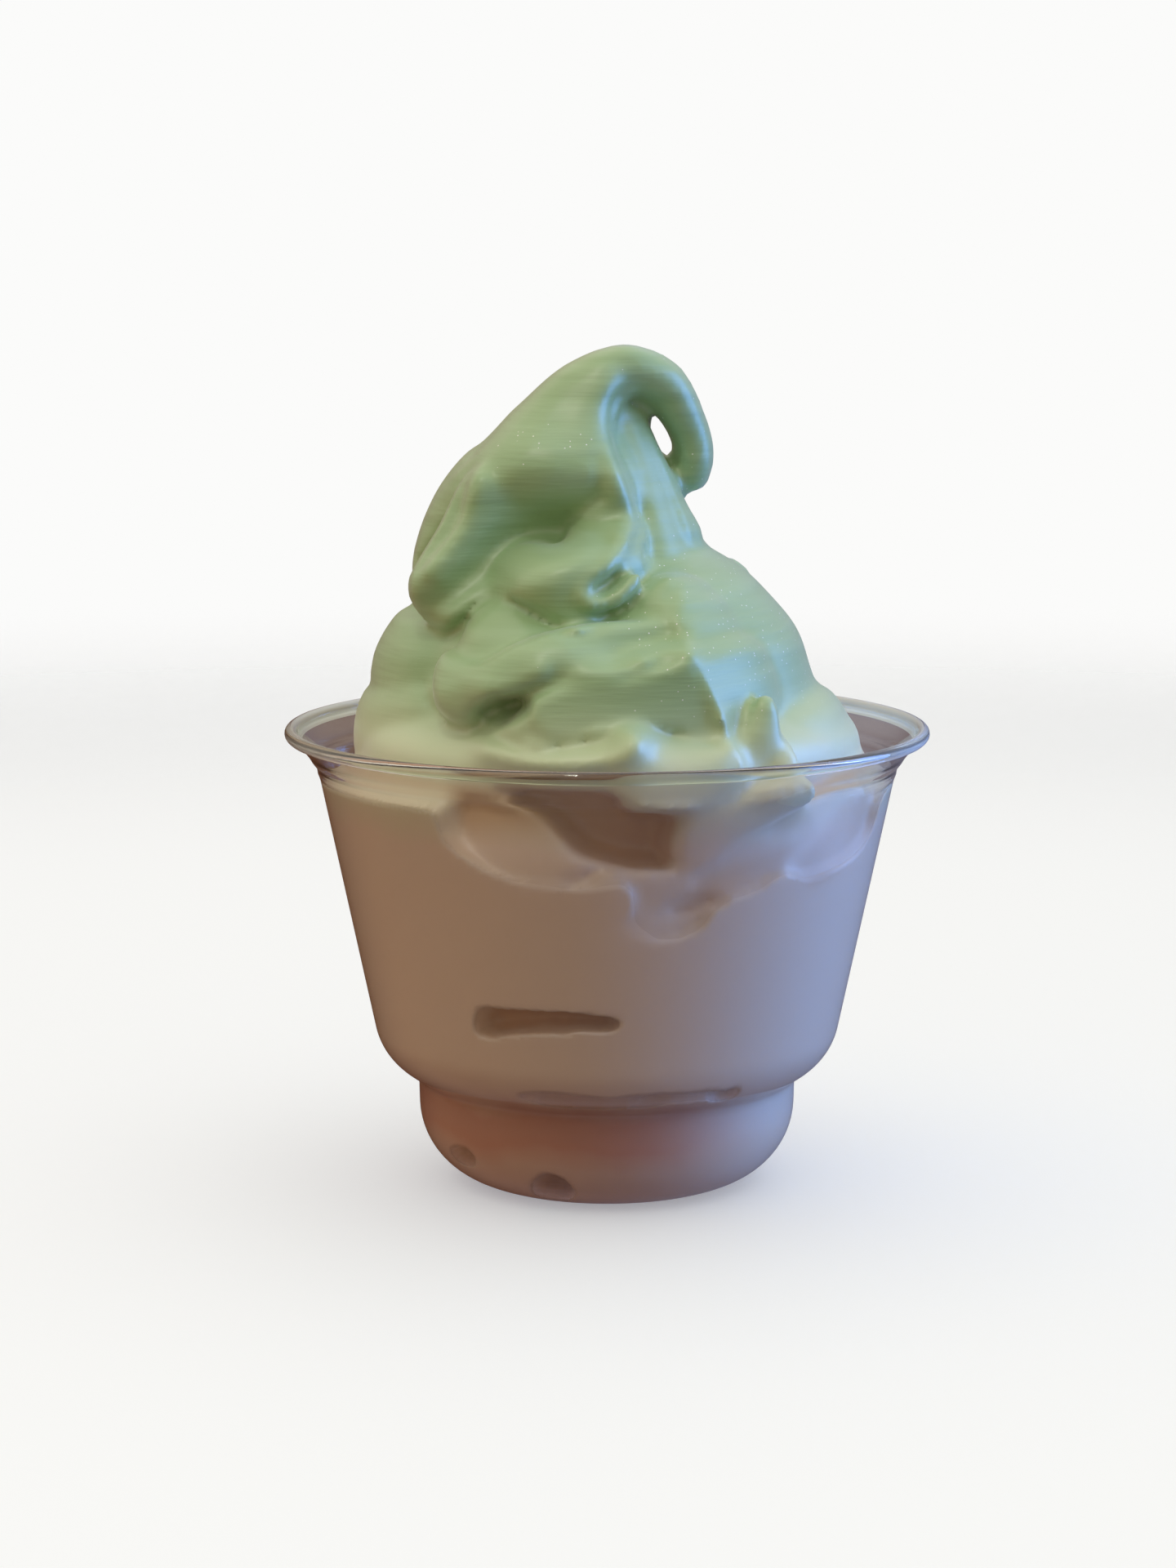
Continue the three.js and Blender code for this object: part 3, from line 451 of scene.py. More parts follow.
# sheets behind the front of the wall, back ones first: gap to the wall within the outline, rounded edge, how
# the gap grows to the right (turn) and upwards (lean), the height they end at (top) and how much painted
# shade they hold, a browner colour that stands in for the shadow in their hollow
wallSheets = dict(
    hollow=dict(gap=10.0, edge=1.8, top=64.2, outline=[
        (-17.7, -0.7), (-8.5, -0.4), (-0.6, 0.0), (3.0, -0.6), (6.3, -4.6), (9.8, -5.0), (14.6, -5.5),
        (13.7, -8.5), (13.3, -11.0), (14.4, -12.9), (9.8, -13.2), (5.9, -12.9), (2.2, -12.0),
        (-1.8, -10.7), (-4.9, -8.0), (-8.5, -5.2), (-13.4, -3.2)]),
    layerFront=dict(gap=2.8, lean=0.8, edge=2.6, outline=[
        (-2.4, 3.7), (-2.4, 0.6), (2.7, -0.2), (6.3, -4.4), (9.8, -5.0), (15.9, -4.8), (21.3, -2.9),
        (26.2, -0.2), (28.7, 1.8), (27.4, 4.3)]),
    ribbon=dict(gap=2.4, lean=0.4, edge=1.3, outline=[
        (-22.0, -3.4), (-19.5, -2.4), (-14.6, -3.7), (-8.5, -5.7), (-4.9, -8.4), (-1.8, -11.0),
        (2.4, -12.2), (5.9, -13.2), (5.4, -14.9), (2.2, -16.1), (-1.0, -16.8), (-3.7, -17.2),
        (-7.3, -16.7), (-11.0, -15.2), (-14.6, -13.4), (-18.3, -11.0), (-21.0, -8.8), (-22.2, -6.3)]),
    ribbonCrease=dict(gap=5.0, edge=0.9, outline=[
        (-6.3, -14.8), (-3.7, -14.6), (-1.0, -13.9), (1.2, -12.9), (3.4, -12.4), (3.7, -13.0),
        (1.8, -13.9), (-0.5, -14.9), (-3.2, -15.5), (-5.9, -15.5)]),
    tongue=dict(gap=1.2, turn=-0.06, edge=1.6, outline=[
        (13.2, -12.9), (12.9, -9.3), (13.7, -6.3), (17.1, -4.5), (22.0, -2.9), (26.8, -0.7), (31.1, 0.6),
        (34.8, 1.2), (35.6, -0.2), (34.1, -3.4), (29.5, -5.9), (25.6, -7.6), (20.7, -10.0), (17.8, -12.0),
        (15.4, -13.2)]),
    rightFold=dict(gap=1.7, turn=-0.12, lean=0.28, edge=3.0, hollowShade=0.7, outline=[
        (28.7, -15.2), (29.9, -11.0), (34.1, -6.1), (36.6, -1.8), (41.5, 0.6), (43.3, 0.0), (42.7, -6.1),
        (40.5, -11.0), (37.8, -14.9), (34.8, -17.8), (31.7, -16.8)]),
    middleFold=dict(gap=1.8, turn=-0.1, lean=0.3, edge=1.8, hollowShade=0.5, outline=[
        (15.6, -13.4), (19.5, -11.7), (24.4, -9.3), (28.7, -7.9), (34.1, -5.9), (35.4, -7.3),
        (31.1, -11.0), (28.7, -15.2), (23.8, -17.3), (19.5, -19.1), (15.9, -20.5), (12.2, -20.5),
        (14.4, -17.1)]),
    smallFold=dict(gap=1.1, turn=0.05, lean=0.06, edge=1.6, outline=[
        (3.9, -13.7), (7.9, -12.9), (11.6, -12.8), (15.9, -12.9), (16.8, -14.9), (16.6, -17.1),
        (18.0, -19.3), (17.8, -22.0), (14.6, -23.9), (9.8, -25.1), (4.3, -24.1), (0.2, -21.5),
        (3.4, -19.3), (3.9, -16.6)]),
    spot=dict(gap=2.6, edge=2.4, hollowShade=1.0, outline=[
        (10.7, -19.5), (12.2, -18.0), (14.6, -17.0), (17.1, -16.5), (19.3, -16.8), (20.0, -17.7),
        (18.3, -19.0), (15.9, -19.9), (13.2, -20.2)]),
    pressed=dict(gap=0.0, edge=1.2, outline=[
        (-46.3, -3.0), (-36.6, -3.7), (-30.5, -2.9), (-25.6, -3.5), (-22.2, -4.9), (-21.3, -9.1),
        (-19.3, -10.7), (-14.6, -13.2), (-9.8, -15.4), (-5.9, -16.8), (-3.7, -17.0), (0.0, -16.2),
        (3.2, -15.4), (5.4, -14.9), (6.3, -16.8), (6.1, -19.3), (3.0, -20.5), (1.8, -21.2), (4.9, -22.9),
        (8.5, -24.1), (12.8, -23.8), (15.9, -22.2), (20.1, -19.3), (25.0, -16.5), (29.0, -13.4),
        (32.3, -14.4), (34.1, -16.7), (36.8, -15.6), (40.5, -11.2), (42.9, -6.1), (44.5, -0.6),
        (52.4, 0.6), (52.4, -70.7), (-46.3, -70.7)]),
    slot=dict(gap=5.0, edge=0.8, outline=[
        (-16.7, -34.1), (-16.1, -33.3), (-14.9, -33.2), (-13.4, -33.7), (-11.2, -33.8), (-8.5, -34.0),
        (-4.9, -34.0), (-1.2, -34.4), (2.2, -34.6), (4.1, -34.9), (5.0, -35.5), (4.6, -36.3),
        (2.9, -36.8), (-0.6, -36.8), (-4.9, -37.0), (-8.5, -37.1), (-11.6, -37.3), (-13.9, -37.6),
        (-15.6, -37.6), (-16.6, -36.8)]),
    footSpot=dict(gap=7.0, edge=0.7, hollowShade=3.0, outline=[
        (-8.5, -59.5), (-7.7, -58.5), (-6.3, -58.0), (-4.6, -58.3), (-3.2, -59.1), (-2.3, -60.4),
        (-2.8, -61.5), (-4.4, -61.8), (-6.3, -61.5), (-7.9, -60.9)]),
    footNotch=dict(gap=6.0, edge=0.7, hollowShade=3.0, outline=[
        (-20.6, -54.9), (-19.9, -54.0), (-18.7, -54.0), (-17.4, -54.8), (-16.7, -55.9), (-17.4, -56.6),
        (-18.9, -56.2), (-20.1, -55.6)]),
)

# setting the skin back on the wall: reach, step of the wall's line, margin below fillTop, parts the search is
# cut into; then the painted shade of the hollows, a browner colour for their shadow: depth behind the wall
# where it sets in and over how much, the same on a sheet from its outline (sheetSoft) and off the wall
# (sheetFrom), and its fade below fillTop
settling = dict(reach=0.55, wallStep=0.2, topMargin=1.0, parts=40, hollowShadeFrom=2.4, hollowShadeSoft=2.4,
                sheetSoft=3.0, sheetFrom=0.8, topFade=3.0)

rng = np.random.default_rng(softServe["seed"])


# eased value of a table's columns at any angle, rows closing round the axis
def roundTable(table, deg):
    first = np.concatenate([[table[-1, 0] - 360], table[-1, 1:]])
    last = np.concatenate([[table[0, 0] + 360], table[0, 1:]])
    rows = np.vstack([first, table, last])
    i = np.clip(np.searchsorted(rows[:, 0], deg, side="right") - 1, 0, len(rows) - 2)
    k = smooth((deg - rows[i, 0]) / (rows[i + 1, 0] - rows[i, 0]))
    return [rows[i, c] + (rows[i + 1, c] - rows[i, c]) * k for c in range(1, rows.shape[1])]


# Catmull-Rom curve through rows, t from 0 to 1
def curveRows(rows, t):
    rows = np.array(rows, float)
    padded = np.vstack([2 * rows[0] - rows[1], rows, 2 * rows[-1] - rows[-2]])
    place = t * (len(rows) - 1)
    i = np.minimum(place.astype(int), len(rows) - 2)
    f = (place - i)[:, None]
    a, b, c, d = (padded[i + k] for k in range(4))
    return b + 0.5 * ((c - a) * f + (2 * a - 5 * b + 4 * c - d) * f ** 2 + (3 * b - a - 3 * c + d) * f ** 3)


# smooth line through a drawn line's points
def openLine(points):
    return curveRows(points, np.linspace(0, 1, softServe["lineSteps"] * len(points)))


# smooth closed line through an outline's points
def closedLine(outline):
    return curveRows(outline + outline[:1], np.linspace(0, 1, softServe["outlineSteps"] * len(outline)))


# point(t, p) = centre(t) + k(t) [half0 c(p) axis0 + half1 s(p) axis1]; c and s are cosine and sine to the
# power 2/power, k rounds both ends as quarter circles, and shallow flutes run the whole way
def carrySection(centre, axes, halves, power, around=72):
    run = np.concatenate([[0], np.cumsum(np.linalg.norm(np.diff(centre, axis=0), axis=1))])
    caps = [min(h[end] for h in halves) for end in (0, -1)]
    size = (quarterCircle(run / caps[0]) * quarterCircle((run[-1] - run) / caps[1]))[:, None]
    p = np.linspace(0, 2 * np.pi, around, endpoint=False)[None, :]
    t = (run / run[-1])[:, None]
    girth = np.pi * (halves[0] + halves[1]).max()
    mix, sway = np.array(softServe["fluteMix"]), softServe["fluteDrift"]
    count = np.round(girth / softServe["fluteWidth"] * mix)
    phase = rng.uniform(0, 2 * np.pi, len(mix))
    drift = rng.uniform(-sway, sway, len(mix))
    flutes = sum(np.cos(n * p + a + b * t) for n, a, b in zip(count, phase, drift)) / len(mix)
    wide = [size * (h[:, None] + softServe["fluteDepth"] * flutes) for h in halves]
    shape = [np.sign(w) * np.abs(w) ** (2 / power) for w in (np.cos(p), np.sin(p))]
    return centre[:, None] + sum((w * s)[..., None] * axis[:, None] for w, s, axis in zip(wide, shape, axes))


# places along a fold, half even and half by a cosine, so they crowd at both ends, where it rounds off
def crowded(rows):
    t = np.linspace(0, 1, softServe["foldSteps"] * len(rows))
    return 0.5 * t + 0.25 * (1 - np.cos(np.pi * t))


# section carried along a space curve, its first axis kept square to the way and near the side axis
def pathFold(side, power, rows):
    t = crowded(rows)
    x, y, z, depth, width = curveRows(rows, t).T
    centre = np.stack([x, y, z], 1)
    along = unit(np.gradient(centre, t, axis=0))
    side = unit(np.array(side, float))
    first = unit(side - (along @ side)[:, None] * along)
    return carrySection(centre, (first, np.cross(along, first)), (depth, width), power)


# section carried round the axis and leaned towards it
def ringFold(rows):
    deg, radius, height, halfHeight, halfThick, lean = curveRows(rows, crowded(rows)).T
    angle, lean = np.radians(deg), np.radians(lean)[:, None]
    outward = np.stack([np.sin(angle), -np.cos(angle), 0 * angle], 1)
    up = np.array([0, 0, 1.0])
    axes = (np.cos(lean) * up - np.sin(lean) * outward, np.cos(lean) * outward + np.sin(lean) * up)
    centre = radius[:, None] * outward + height[:, None] * up
    return carrySection(centre, axes, (halfHeight, halfThick), softServe["ringPower"])


# rows of a fold whose radius and height follow a cosine, thinner and sunk in at both ends
def waveRows(first, last, radius, swell, height, sway, waves, halfHeight, halfThick, lean):
    k = np.linspace(0, 1, softServe["waveSteps"])
    wave, middle = np.cos(2 * np.pi * waves * k), np.sqrt(np.abs(np.sin(np.pi * k)))
    full = softServe["endTaper"] + (1 - softServe["endTaper"]) * middle
    sunk = softServe["endTuck"] * (1 - middle)
    return np.stack([first + (last - first) * k, radius + swell * wave - sunk, height + sway * wave,
                     halfHeight * full, halfThick * full, lean + 0 * k], 1)


# radius(z, a) = wall - gap below the rim layer, then a dome r cos(b)^q, z sin(b)^s up to the crest; the gap
# comes from the contact line, the bands, the sheets as the front shows them, and the air pockets
def filling(around=300, crestSteps=40):
    s, edge = softServe, pocketEdge
    deg = wrap(np.linspace(0, 360, around, endpoint=False))[None, :]
    wall = evenLine(insetLine(cupLine, s["sink"]), s["wallStep"])
    wall = wall[wall[:, 1] < s["fillTop"]]
    radius, height = wall[:, :1], wall[:, 1:]
    contact, slopeTop = roundTable(contactLine, deg)
    depth = s["slopeDepth"] * smooth((height - contact) / (slopeTop - contact))
    depth = depth + s["hollowDepth"] * smooth((height - slopeTop) / s["hollowEdge"])
    for deg0, height0, deg1, height1, half, soft, fade, near in wallBands:
        k = (deg - deg0) / (deg1 - deg0)
        across = smooth((half + soft - np.abs(height - height0 - (height1 - height0) * k)) / soft)
        depth = depth * (1 - near * across * smooth((k + fade) / fade) * smooth((1 + fade - k) / fade))
    layer = s["layerRadius"] + s["layerWave"] * np.sin(s["layerWaves"] * np.radians(deg) + s["layerPhase"])
    layer = layer + s["frontBulge"] * np.exp(-(deg / s["frontBulgeSpan"]) ** 2)
    room = np.maximum(radius - layer, 0)
    hollow = s["frontHollow"] * np.exp(-(deg / s["frontHollowSpan"]) ** 2)
    upper = smooth((height - s["fillTop"] + s["layerBlend"]) / s["layerBlend"])
    gap = np.minimum(depth, room + hollow) * (1 - upper) + room * upper
    flat = sightPlane(ringGrid(radius, height, around)).reshape(-1, 2)
    for sheet in wallSheets.values():
        outline = closedLine(sheet["outline"])
        deep = lineDistance(flat, outline)[0] * within(flat, outline) / sheet["edge"]
        cover = quarterCircle(deep).reshape(gap.shape) * (np.abs(deg) < 90)
        cover = cover * (1 - smooth((height - sheet.get("top", s["fillTop"])) / s["sheetFade"]))
        tilt = (flat - outline.mean(0)) @ np.array([sheet.get("turn", 0), sheet.get("lean", 0)])
        gap = gap * (1 - cover) + np.maximum(sheet["gap"] + tilt.reshape(gap.shape), 0) * cover
    for at, middle, span, half, deep in airPockets:
        across = wrap(deg - at) / span
        centre = middle + edge["sway"] * half * np.sin(edge["swayTurn"] * across + at)
        tall = half * (1 - edge["taper"] * across + edge["ripple"] * np.sin(edge["rippleTurn"] * across))
        off = np.abs(across) ** edge["endPower"] + (np.abs(height - centre) / tall) ** edge["sidePower"]
        gap = gap + deep * smooth(edge["steep"] - edge["steep"] * off)
    side = ringGrid(radius - gap, height, around)
    rise = np.linspace(0, np.pi / 2, crestSteps)[1:, None]
    top = ringGrid((radius - gap)[-1:] * np.cos(rise) ** s["layerFullness"],
                   height[-1] + (s["layerCrest"] - height[-1]) * np.sin(rise) ** s["layerLift"], around)
    return np.vstack([side, top])


# half spheroid above, flatter one below, with low bands that wind round it
def heap(around=200, steps=120):
    s = softServe
    tilt = np.linspace(-np.pi / 2, np.pi / 2, steps)[:, None]
    wind = np.sin(np.linspace(0, 2 * np.pi, around, endpoint=False)[None, :] + s["bandPhase"])
    bands = 1 + s["bandDepth"] * np.cos(tilt) * np.sin(s["bandTurns"] * tilt + wind)
    height = s["domeBase"] + np.where(tilt > 0, s["domeRise"], s["domeDrop"]) * np.sin(tilt)
    rings = ringGrid(s["domeRadius"] * np.cos(tilt) * bands, height, around)
    rings[..., 0] += s["domeShift"]
    return rings


# one even skin round everything in a piece, by voxels, then eased
def joinSkin(piece, rounds):
    remesh = piece.modifiers.new("join", "REMESH")
    remesh.mode = "VOXEL"
    remesh.voxel_size = softServe["voxel"] * mm
    relax = piece.modifiers.new("relax", "SMOOTH")
    relax.factor = softServe["relaxShare"]
    relax.iterations = rounds
    rough = piece.data
    shaped = piece.evaluated_get(bpy.context.evaluated_depsgraph_get())
    piece.data = bpy.data.meshes.new_from_object(shaped)
    piece.data.name = piece.name
    piece.modifiers.clear()
    bpy.data.meshes.remove(rough)


# vertex places in millimetres, and normals
def meshArrays(mesh):
    points, normals = np.empty((2, len(mesh.vertices) * 3), np.float32)
    mesh.vertices.foreach_get("co", points)
    mesh.vertex_normals.foreach_get("vector", normals)
    return points.reshape(-1, 3) / np.float32(mm), normals.reshape(-1, 3)


# places in millimetres put back into the mesh
def setPoints(mesh, points):
    mesh.vertices.foreach_set("co", (points * mm).astype(np.float32).ravel())
    mesh.update()


# depth = a + b p + c q + d p^2 + e p q + f q^2 through the given depths, by least squares
def curvedSheet(flat, depths):
    terms = [np.stack([1 + 0 * p, p, q, p * p, p * q, q * q], 1) for p, q in (depths[:, :2].T, flat.T)]
    return terms[1] @ np.linalg.lstsq(terms[0], depths[:, 2], rcond=None)[0]


# the drawn steps, ridges and faces move what faces the front above the cup's lip, forwards or back
def sculpt(mesh):
    d, top = drawing, softServe["fillTop"]
    points, normals = meshArrays(mesh)
    front = np.flatnonzero((normals[:, 1] < d["facingFrom"]) & (points[:, 2] > top - d["lipMargin"]))
    flat = sightPlane(points[front].astype(float))
    facing = smooth((d["facingFrom"] - normals[front, 1]) / d["facingSoft"])
    facing = facing * smooth((points[front, 2] - top + d["lipMargin"]) / d["lipSoft"])
    out = np.zeros(len(front))
    for step in drawnSteps.values():
        away, side, run = lineDistance(flat, openLine(step["line"]))
        ends = smooth(run / d["endFade"]) * smooth((1 - run) / d["endFade"])
        fall = smooth(1 - away / step["spread"])
        whole = step["sunk"] + step["raised"]
        left = whole * quarterCircle(away / step["edge"]) * fall - step["sunk"] * fall
        right = -step["sunk"] * smooth(1 - away / step["sunkSpread"])
        out += ends * np.where(side > 0, left, right)
    for ridge in drawnRidges.values():
        away, side = lineDistance(flat, openLine(ridge["line"]))[:2]
        width = np.where(side > 0, ridge["width"], ridge.get("right", ridge["width"]))
        out += ridge["rise"] * np.exp(-(away / width) ** ridge.get("power", 2))
    points[front, 1] -= out * facing
    for face in drawnFaces.values():
        outline = closedLine(face["outline"])
        deep = lineDistance(flat, outline)[0] * within(flat, outline)
        off = curvedSheet(flat, np.array(face["depths"])) - points[front, 1]
        points[front, 1] += off * smooth(deep / face["soft"]) * facing * (np.abs(off) < d["faceReach"])
    setPoints(mesh, points)


# points within reach of the wall's middle line move onto it, in the half plane through the axis; the
# attribute that paints shade in the hollows is 0 at the wall, grows to 1 behind it, and is set higher on the
# sheets that hold more of that painted shade
def settle(mesh):
    k, top = settling, softServe["fillTop"]
    points = meshArrays(mesh)[0].astype(float)
    radius = np.hypot(points[:, 0], points[:, 1])
    wall = evenLine(insetLine(cupLine, softServe["sink"]), k["wallStep"])
    wall = wall[wall[:, 1] < top]
    near = np.flatnonzero(points[:, 2] < top - k["topMargin"])
    flat = np.stack([radius[near], points[near, 2]], 1)
    nearest = np.concatenate([((part[:, None] - wall[None]) ** 2).sum(-1).argmin(1)
                              for part in np.array_split(flat, k["parts"])])
    off = np.linalg.norm(flat - wall[nearest], axis=1)
    hold = smooth((2 * k["reach"] - off) / k["reach"])[:, None]
    moved = flat + (wall[nearest] - flat) * hold
    scale = moved[:, 0] / np.maximum(flat[:, 0], 1e-6)
    points[near, :2] *= scale[:, None]
    points[near, 2] = moved[:, 1]
    setPoints(mesh, points)
    seen = sightPlane(points[near])
    shaded = smooth((off - k["hollowShadeFrom"]) / k["hollowShadeSoft"])
    for sheet in wallSheets.values():
        outline = closedLine(sheet["outline"])
        deep = lineDistance(seen, outline)[0] * within(seen, outline) * (points[near, 1] < 0)
        held = sheet.get("hollowShade", 0) * smooth(deep / k["sheetSoft"]) * smooth(off / k["sheetFrom"])
        shaded = np.maximum(shaded, held)
    hollowShade = np.zeros(len(points), np.float32)
    hollowShade[near] = shaded * smooth((top - flat[:, 1]) / k["topFade"])
    mesh.attributes.new("hollowShade", "FLOAT", "POINT").data.foreach_set("value", hollowShade)


# filling, heap and folds joined into one skin, drawn on, joined again, then set back on the wall
def buildSoftServe():
    grids = [filling(), heap()]
    grids += [pathFold(**fold) for fold in pathFolds.values()]
    grids += [ringFold(rows) for rows in ringFolds.values()]
    grids += [ringFold(waveRows(*fold)) for fold in waveFolds.values()]
    piece = gridObject("soft_serve_swirl", grids)
    joinSkin(piece, softServe["relax"])
    sculpt(piece.data)
    joinSkin(piece, softServe["relaxAgain"])
    settle(piece.data)
    piece.data.shade_smooth()
    return piece


servePiece = buildSoftServe()
print("soft serve:", len(servePiece.data.polygons), "faces")

# PET sheet, thermoformed: clear and glossy, a faint warm grey in its edges, and it lets the lamps through;
# on the inner half of the curled rim a pale veil, more of it away from the front, is painted reflection that
# stands in for the bright reflections at the rim's ends
petLook = dict(wall="#f4f1ee", wallRoughness=0.03, rim="#eef6f6", rimRoughness=0.05, ior=1.575, veil=0.55,
               rimEndReflectionFrom=(35.0, 80.0))       # degrees from the front between which the painted reflection's veil grows


# clear plastic for light, see-through for shadows; transmission = 1 - veil times the share of the rim's
# painted reflection
def petMaterial(name, colour, roughness, veil=0):
    material, tree = newMaterial(name)
    feeds = {}
    if veil:
        rimEndReflection = addNode(tree, "Attribute", {"attribute_name": "rimEndReflection"})
        rimTransmission = addNode(tree, "MapRange", {}, {"To Min": 1.0, "To Max": 1 - veil}, {
            "Value": rimEndReflection.outputs["Fac"]})
        feeds["Transmission Weight"] = rimTransmission.outputs[0]
    glossy = addNode(tree, "BsdfPrincipled", {}, {
        "Base Color": linear(colour), "Roughness": roughness, "IOR": petLook["ior"],
        "Transmission Weight": 1.0}, feeds)
    clear = addNode(tree, "BsdfTransparent", sockets={"Color": linear(colour)})
    path = addNode(tree, "LightPath")
    mix = addNode(tree, "MixShader", links={
        0: path.outputs["Is Shadow Ray"], 1: glossy.outputs[0], 2: clear.outputs[0]})
    addNode(tree, "OutputMaterial", links={"Surface": mix.outputs[0]})
    return material


# the rim's plastic goes on the curl's inner half; the share of its painted reflection runs from 0 at the
# front to 1 at the sides and back
def dressCup(mesh):
    look = petLook
    mesh.materials.append(petMaterial("clear_thermoformed_PET", look["wall"], look["wallRoughness"]))
    mesh.materials.append(petMaterial("curled_PET_rim", look["rim"], look["rimRoughness"], look["veil"]))
    middles = np.empty(len(mesh.polygons) * 3, np.float32)
    mesh.polygons.foreach_get("center", middles)
    x, y, z = middles.reshape(-1, 3).T / mm
    onCurl = (z > cup["height"] - 2 * cup["bead"]) & (np.hypot(x, y) < cup["rimRadius"] - cup["bead"])
    mesh.polygons.foreach_set("material_index", onCurl.astype(np.int32))
    x, y = meshArrays(mesh)[0][:, :2].T
    start, end = look["rimEndReflectionFrom"]
    rimEndReflection = smooth((np.abs(np.degrees(np.arctan2(x, -y))) - start) / (end - start)).astype(np.float32)
    mesh.attributes.new("rimEndReflection", "FLOAT", "POINT").data.foreach_set("value", rimEndReflection)


# soft serve drawn through a nozzle: satin and moist, faint drawn streaks, ice grains whose glints are painted
# as white specks; pressed against the wall below the lip it is smooth and creamier
serveLook = dict(
    pistachio="#9cbe8d", pistachioDeep="#8fb37d", toneFrom=(0.3, 0.7),
    greenFrom=(67.0, 82.0),         # heights between which the cream turns green
    bands=((0, "#dfcdb9"), (56, "#dfcdb9"), (69, "#c9d7b0"), (82, "#9bbc8a")),      # height and tint; the paler tint at 69 mm is painted light, lifting the rim layer that lies in the hem's shade
    bandSpan=100.0, uneven=6.0,     # height that the bands cover, and how far the mottle moves them
    # painted warm light: a reddish tint on the foot, by height, from the middle leftwards, where the warm
    # room light falls
    paintedWarmLight="#cd9882", paintedWarmLightHeights=((0, 0.25), (7, 0.4), (11, 1), (15, 1), (19, 0.15), (23, 0)),
    paintedWarmLightSide=(26.0, 2.0),          # x where this painted warm light starts, going left, and where it is full
    hollowShade="#bd8c50", hollowShadeShare=0.6,  # painted shade: a browner colour in the hollows behind the wall, standing in for their shadow
    streak=(24.0, 24.0, 2.0), streakDepth=0.7, streakStrength=0.5, mottle=12.0,
    iceGlint="#f4f8f6", iceGlintCell=0.75,  # painted highlights: white specks for the glints of ice grains; cells that may hold one, drawn coarse so that it shows
    iceGlintShare=0.4,                 # largest share of the cells that hold one
    iceGlintSize=0.17, iceGlintCore=0.6,  # a speck's radius in cells, and the solid share of it
    iceGlintFrom=(0.5, 0.66), iceGlintLean=9.0,   # mottle where the painted glints start and are full, and how many more to the right, per metre, where the window light falls
    roughness=0.52, ior=1.4, scatter=0.12, scatterRadius=(1.0, 0.9, 0.55), scatterDepth=2.0,
    moist=1.0, moistRoughness=0.38, moistIor=1.6, sheen=0.3, sheenRoughness=0.45,
)


